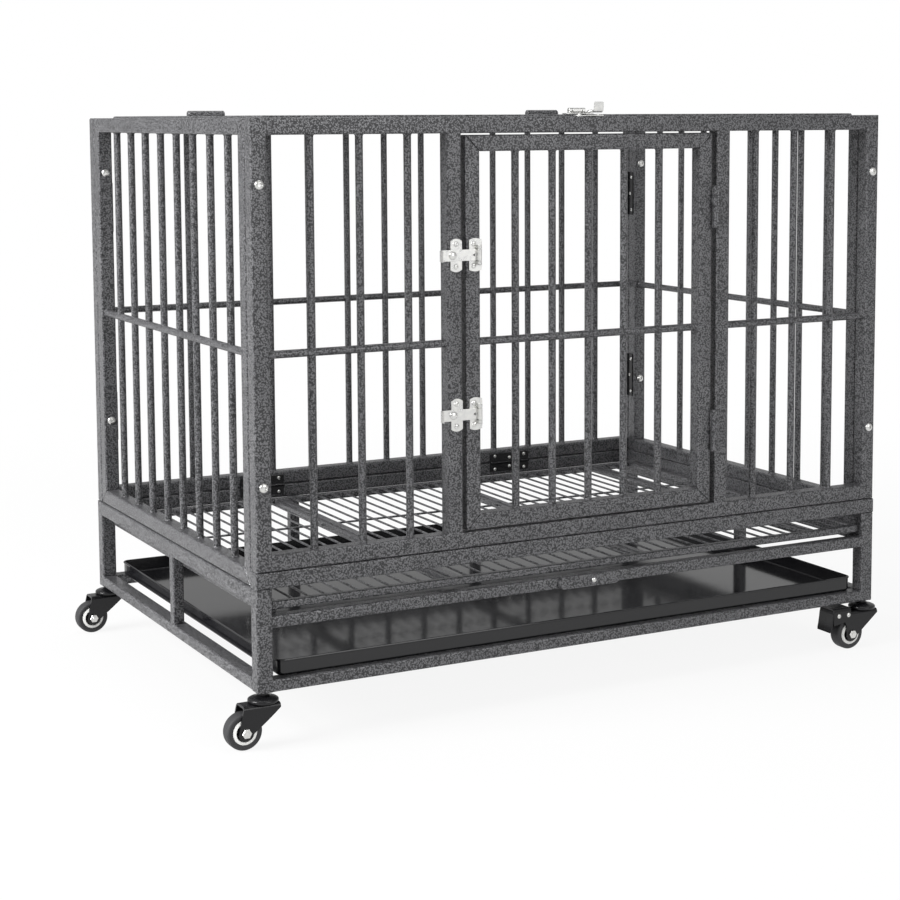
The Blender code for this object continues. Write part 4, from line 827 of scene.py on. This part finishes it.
def fork(stem, eared):
    """The fork: its lower edge is the axle eye's circle, with straight flanks up to the top plate. A fork
    with a brake has an ear that reaches back past the eye."""
    eye_rear = -CASTER_TRAIL - FORK_EYE
    eye_back = -CASTER_TRAIL - FORK_EYE * math.cos(math.radians(FLANK_TURN))
    eye_front = -CASTER_TRAIL + FORK_EYE
    flank_start = -CASTER_TRAIL + FORK_EYE * 0.9
    ear = np.linspace(FORK_EAR, eye_rear, 8)[:-1] if eared else []
    around = np.radians(np.linspace(180 if eared else 180 + FLANK_TURN, 358, 18))
    x = np.concatenate([ear, -CASTER_TRAIL + FORK_EYE * np.cos(around),
                        np.linspace(eye_front, FORK_FRONT, 12)])
    eye = WHEEL_RADIUS - np.sqrt(np.clip(FORK_EYE ** 2 - (x + CASTER_TRAIL) ** 2, 0, None))
    rear_flank = np.interp(x, (FORK_EAR, eye_rear), (FORK_TOP - 0.0095, 0.0345))
    front_flank = np.interp(x, (flank_start, FORK_FRONT), (0.0200, FORK_TOP - 0.0055))
    low_z = np.where(x < eye_rear + 0.0001, rear_flank, np.where(x > flank_start, front_flank, eye))
    points, corners, sizes = channel(x, low_z, FORK_TOP, FORK_HALF, FORK_SHEET, stem)
    if not eared:
        height = np.clip((points[:, 2] - WHEEL_RADIUS) / (FORK_TOP - WHEEL_RADIUS), 0, 1)
        share = np.clip((FORK_FRONT - (points[:, 0] - stem[0])) / (FORK_FRONT - eye_back), 0, 1)
        points = points + (height * share * (FORK_BACK - eye_back))[:, None] * X
    return points, corners, sizes


def raceway(stem):
    """The cap: a collar, a domed plate z = rim + rise sin t over r = radius cos t, and a rolled rim."""
    top = bottom - 0.0003
    rim = FORK_TOP + 0.0004
    dome = (0, rim + 0.0028) + arc(62, 8, 8) * (CAP_RADIUS, CAP_RISE)
    collar = [(0.0050, top), (0.0060, top - 0.0004), (0.0060, top - 0.0028), (0.0072, top - 0.0031)]
    rolled = [(CAP_RADIUS, rim + 0.0026), (CAP_RADIUS, rim + 0.0011), (0.0182, rim + 0.0003), (0.0120, rim)]
    return spun(np.concatenate([collar, dome, rolled]), stem, Z, 40)


def wheel(axle):
    """Tyre, pale rings and hub, each a profile of (radius, offset) spun round the axle."""
    shoulder = TYRE_SHOULDER + TYRE_ROUNDING * arc(0, 90, 6)
    half = np.concatenate([[(WHEEL_RADIUS - 0.0002, 0.0)], shoulder, [(0.0170, 0.0088), (0.0148, 0.0084)]])
    tyre = np.concatenate([half, (half * (1, -1))[::-1][:-1]])
    ring = np.array([(0.0152, 0.0078), (0.0151, 0.0087), (0.0146, 0.0091), (0.0119, 0.0102),
                     (0.0114, 0.0100), (0.0112, 0.0078)])
    flank = np.array([(0.0034, 0.0090), (0.0058, 0.0090), (0.0064, 0.0080), (0.0112, 0.0078),
                      (0.0118, 0.0084), (0.0149, 0.0080)])
    hub = np.concatenate([flank * (1, -1), flank[::-1]])
    rings = [spun(ring * (1, side), axle, Y, 48, closed=True) for side in (-1, 1)]
    return spun(tyre, axle, Y, 64, closed=True), rings, spun(hub, axle, Y, 48, closed=True)


def nutted_axle(axle):
    """The axle inside the fork, with a six-sided nut and a chamfered end on each side."""
    nut = [(0.0060, 0.0127), (0.0061, 0.0131), (0.0061, 0.0155), (0.0055, 0.0162), (0.0002, 0.0162)]
    stub = [(0.0030, 0.0150), (0.0030, 0.0166), (0.0026, 0.0170), (0.0002, 0.0170)]
    shells = []
    for side in (-1, 1):
        shells.append(spun(nut, axle, side * Y, 6))
        shells.append(spun(stub, axle, side * Y, 20))
    shells.append(spun([(0.0030, -FORK_HALF), (0.0030, FORK_HALF)], axle, Y, 16))
    return shells


def stem_of(caster):
    """The point on the floor under a caster's swivel axis."""
    low, high = box_of(caster + "_raceway")
    return (low + high) / 2 * (1, 1, 0)


for end in ("front", "rear"):
    for side_name in ("left", "right"):
        name = f"caster_{end}_{side_name}"
        stem = stem_of(name)
        axle = stem + np.array((-CASTER_TRAIL, 0, WHEEL_RADIUS))
        make(name + "_cap", [raceway(stem)], black, "frame", name + "_raceway", sharp=50)
        bent = fork(stem, side_name == "right")
        make(name + "_pressed_fork", [bent], black, name + "_swivel", name + "_fork", sharp=50)
        make(name + "_axle_and_nuts", nutted_axle(axle), zinc, name + "_swivel")
        tyre, rings, hub = wheel(axle)
        make(name + "_tyre", [tyre], rubber, name + "_roll", name + "_wheel", sharp=50)
        make(name + "_pale_ring", rings, pale, name + "_roll", sharp=50)
        make(name + "_hub", [hub], black, name + "_roll", sharp=50)

# The foot brakes on the right-hand casters are folded hoods over the fork, with a toe plate that flares
# out behind the wheel, a shoe inside and two rivets through each cheek.
HOOD_REAR = -0.0605
HOOD_FRONT = -0.0310
HOOD_RISE = 0.0070
HOOD_HALF = 0.0153
HOOD_SHEET = 0.0020
TOE_SHEET = 0.0018
SHOE_MIDDLE = (-0.0478, 0, -0.0040)
SHOE_HALF = 0.0088
RIVET_PLACES = (-0.0350, -0.0515)
for end in ("front", "rear"):
    name = f"caster_{end}_right"
    stem = stem_of(name)
    x = np.linspace(HOOD_REAR, HOOD_FRONT, 16)
    drop = np.interp(x, (HOOD_REAR, -0.0440, -0.0370, HOOD_FRONT), (0.0157, 0.0137, 0.0095, 0.0065))
    shells = [channel(x, FORK_TOP - drop, FORK_TOP + HOOD_RISE, HOOD_HALF, HOOD_SHEET, stem)]
    path = np.array([(-0.0590, 0.0055), (-0.0603, 0.0045), (-0.0612, -0.0005), (-0.0622, -0.0085),
                     (-0.0634, -0.0165), (-0.0650, -0.0225), (-0.0662, -0.0252)]) + (0, FORK_TOP)
    run = headings(path)
    widths = (0.0290, 0.0300, 0.0306, 0.0306, 0.0306, 0.0300, 0.0270)
    outlines = [rounded(width, TOE_SHEET, 0.0008) for width in widths]
    shells.append(carried(outlines, stem + path[:, :1] * X + path[:, 1:] * Z, Y,
                          -run[:, 1:] * X + run[:, :1] * Z))
    shoe = stem + SHOE_MIDDLE + FORK_TOP * Z
    shells.append(tube(shoe - SHOE_HALF * Y, shoe + SHOE_HALF * Y, 0.0062, 0.0190, X, 0.0015))
    make(name + "_hood", shells, black, name + "_pedal", name + "_brake", sharp=50)
    rivets = []
    for x in RIVET_PLACES:
        for side in (-1, 1):
            head = stem + np.array((x, side * HOOD_HALF, FORK_TOP - 0.0028))
            rivets.append(button_head(head, side * Y, 0.0030, 0.0012, 16))
    make(name + "_rivets", rivets, zinc, name + "_pedal")

# The room: a matt floor that shows nearly white to the camera and in reflections, fading to white far
# out, with a trace of the cage's shadow, and a surround that is white to the camera and dimmer otherwise.
# Three softboxes light it: the key from the left, one overhead, and a weak fill in front.


def seen_white(tree, kinds):
    """1 for rays of these kinds, and 0 for the rest."""
    path = add(tree, "ShaderNodeLightPath", {})
    seen = path.outputs[kinds[0]]
    for kind in kinds[1:]:
        seen = add(tree, "ShaderNodeMath", {0: seen, 1: path.outputs[kind]}, operation="MAXIMUM").outputs[0]
    return seen


FLOOR_SHARE = 0.90
FLOOR_HALF = 9
FADE_START, FADE_END = 0.7, 2.2
floor_paint = bpy.data.materials.new("studio_floor_matt_white")
floor_paint.use_nodes = True
tree = floor_paint.node_tree
tree.nodes.clear()
matt = add(tree, "ShaderNodeBsdfDiffuse", {"Color": linear("e4e4e4")})
glow = add(tree, "ShaderNodeEmission", {"Color": linear("ffffff"), "Strength": 1.0})
place = add(tree, "ShaderNodeTexCoord", {}).outputs["Object"]
away = add(tree, "ShaderNodeVectorMath", {0: place}, operation="LENGTH").outputs["Value"]
fade = add(tree, "ShaderNodeMapRange", {"Value": away, "From Min": FADE_START, "From Max": FADE_END,
                                        "To Min": FLOOR_SHARE, "To Max": 1.0},
           interpolation_type="SMOOTHSTEP")
seen = seen_white(tree, ("Is Camera Ray", "Is Glossy Ray"))
share = add(tree, "ShaderNodeMath", {0: seen, 1: fade.outputs["Result"]}, operation="MULTIPLY")
mixed = add(tree, "ShaderNodeMixShader", {0: share.outputs[0], 1: matt.outputs[0], 2: glow.outputs[0]})
add(tree, "ShaderNodeOutputMaterial", {"Surface": mixed.outputs[0]})
floor_mesh = bpy.data.meshes.new("studio_floor")
floor_corners = [(x * FLOOR_HALF, y * FLOOR_HALF, 0) for x, y in ((-1, -1), (1, -1), (1, 1), (-1, 1))]
floor_mesh.from_pydata(floor_corners, [], [(0, 1, 2, 3)])
floor_mesh.materials.append(floor_paint)
floor = bpy.data.objects.new("studio_floor", floor_mesh)
bpy.context.scene.collection.objects.link(floor)

SURROUND_LIGHT = 0.25
MIRRORED_LIGHT = 0.55
world = bpy.data.worlds.new("white_surround")
world.use_nodes = True
bpy.context.scene.world = world
tree = world.node_tree
tree.nodes.clear()
mirrored = add(tree, "ShaderNodeMapRange", {"Value": seen_white(tree, ("Is Glossy Ray",)),
                                            "To Min": SURROUND_LIGHT, "To Max": MIRRORED_LIGHT})
strength = add(tree, "ShaderNodeMapRange", {"Value": seen_white(tree, ("Is Camera Ray",)),
                                            "To Min": mirrored.outputs[0], "To Max": 1.0})
sky = add(tree, "ShaderNodeBackground", {"Color": linear("ffffff"), "Strength": strength.outputs[0]})
add(tree, "ShaderNodeOutputWorld", {"Surface": sky.outputs[0]})

LIGHT_AIM = (0, 0, 0.4)
for name, spot, size, power in (("key_softbox", (-4.2, -0.2, 2.6), 2.4, 330),
                                ("top_softbox", (0.2, 0.3, 4.4), 2.4, 60),
                                ("fill_softbox", (0.9, -3.6, 1.7), 2.2, 42)):
    lamp = bpy.data.lights.new(name, "AREA")
    lamp.shape = "SQUARE"
    lamp.size = size
    lamp.energy = power
    holder = bpy.data.objects.new(name, lamp)
    holder.location = spot
    towards = Vector(LIGHT_AIM) - Vector(spot)
    holder.rotation_euler = towards.to_track_quat("-Z", "Y").to_euler()
    bpy.context.scene.collection.objects.link(holder)

CAMERA_FOCUS_PIXELS = 1928.6
CAMERA_CENTRE_PIXELS = (480, 310)
IMAGE_PIXELS = 900
SENSOR = 36.0
lens = bpy.data.cameras.new("photograph_view")
lens.sensor_width = SENSOR
lens.lens = CAMERA_FOCUS_PIXELS / IMAGE_PIXELS * SENSOR
lens.shift_x = 0.5 - CAMERA_CENTRE_PIXELS[0] / IMAGE_PIXELS
lens.shift_y = CAMERA_CENTRE_PIXELS[1] / IMAGE_PIXELS - 0.5
camera = bpy.data.objects.new("photograph_view", lens)
camera.location = (-1.2614, -2.3804, 0.7420)
camera.rotation_euler = (math.radians(84.274), math.radians(0.242), math.radians(-28.289))
bpy.context.scene.collection.objects.link(camera)
bpy.context.scene.camera = camera
bpy.context.scene.view_settings.view_transform = "Standard"
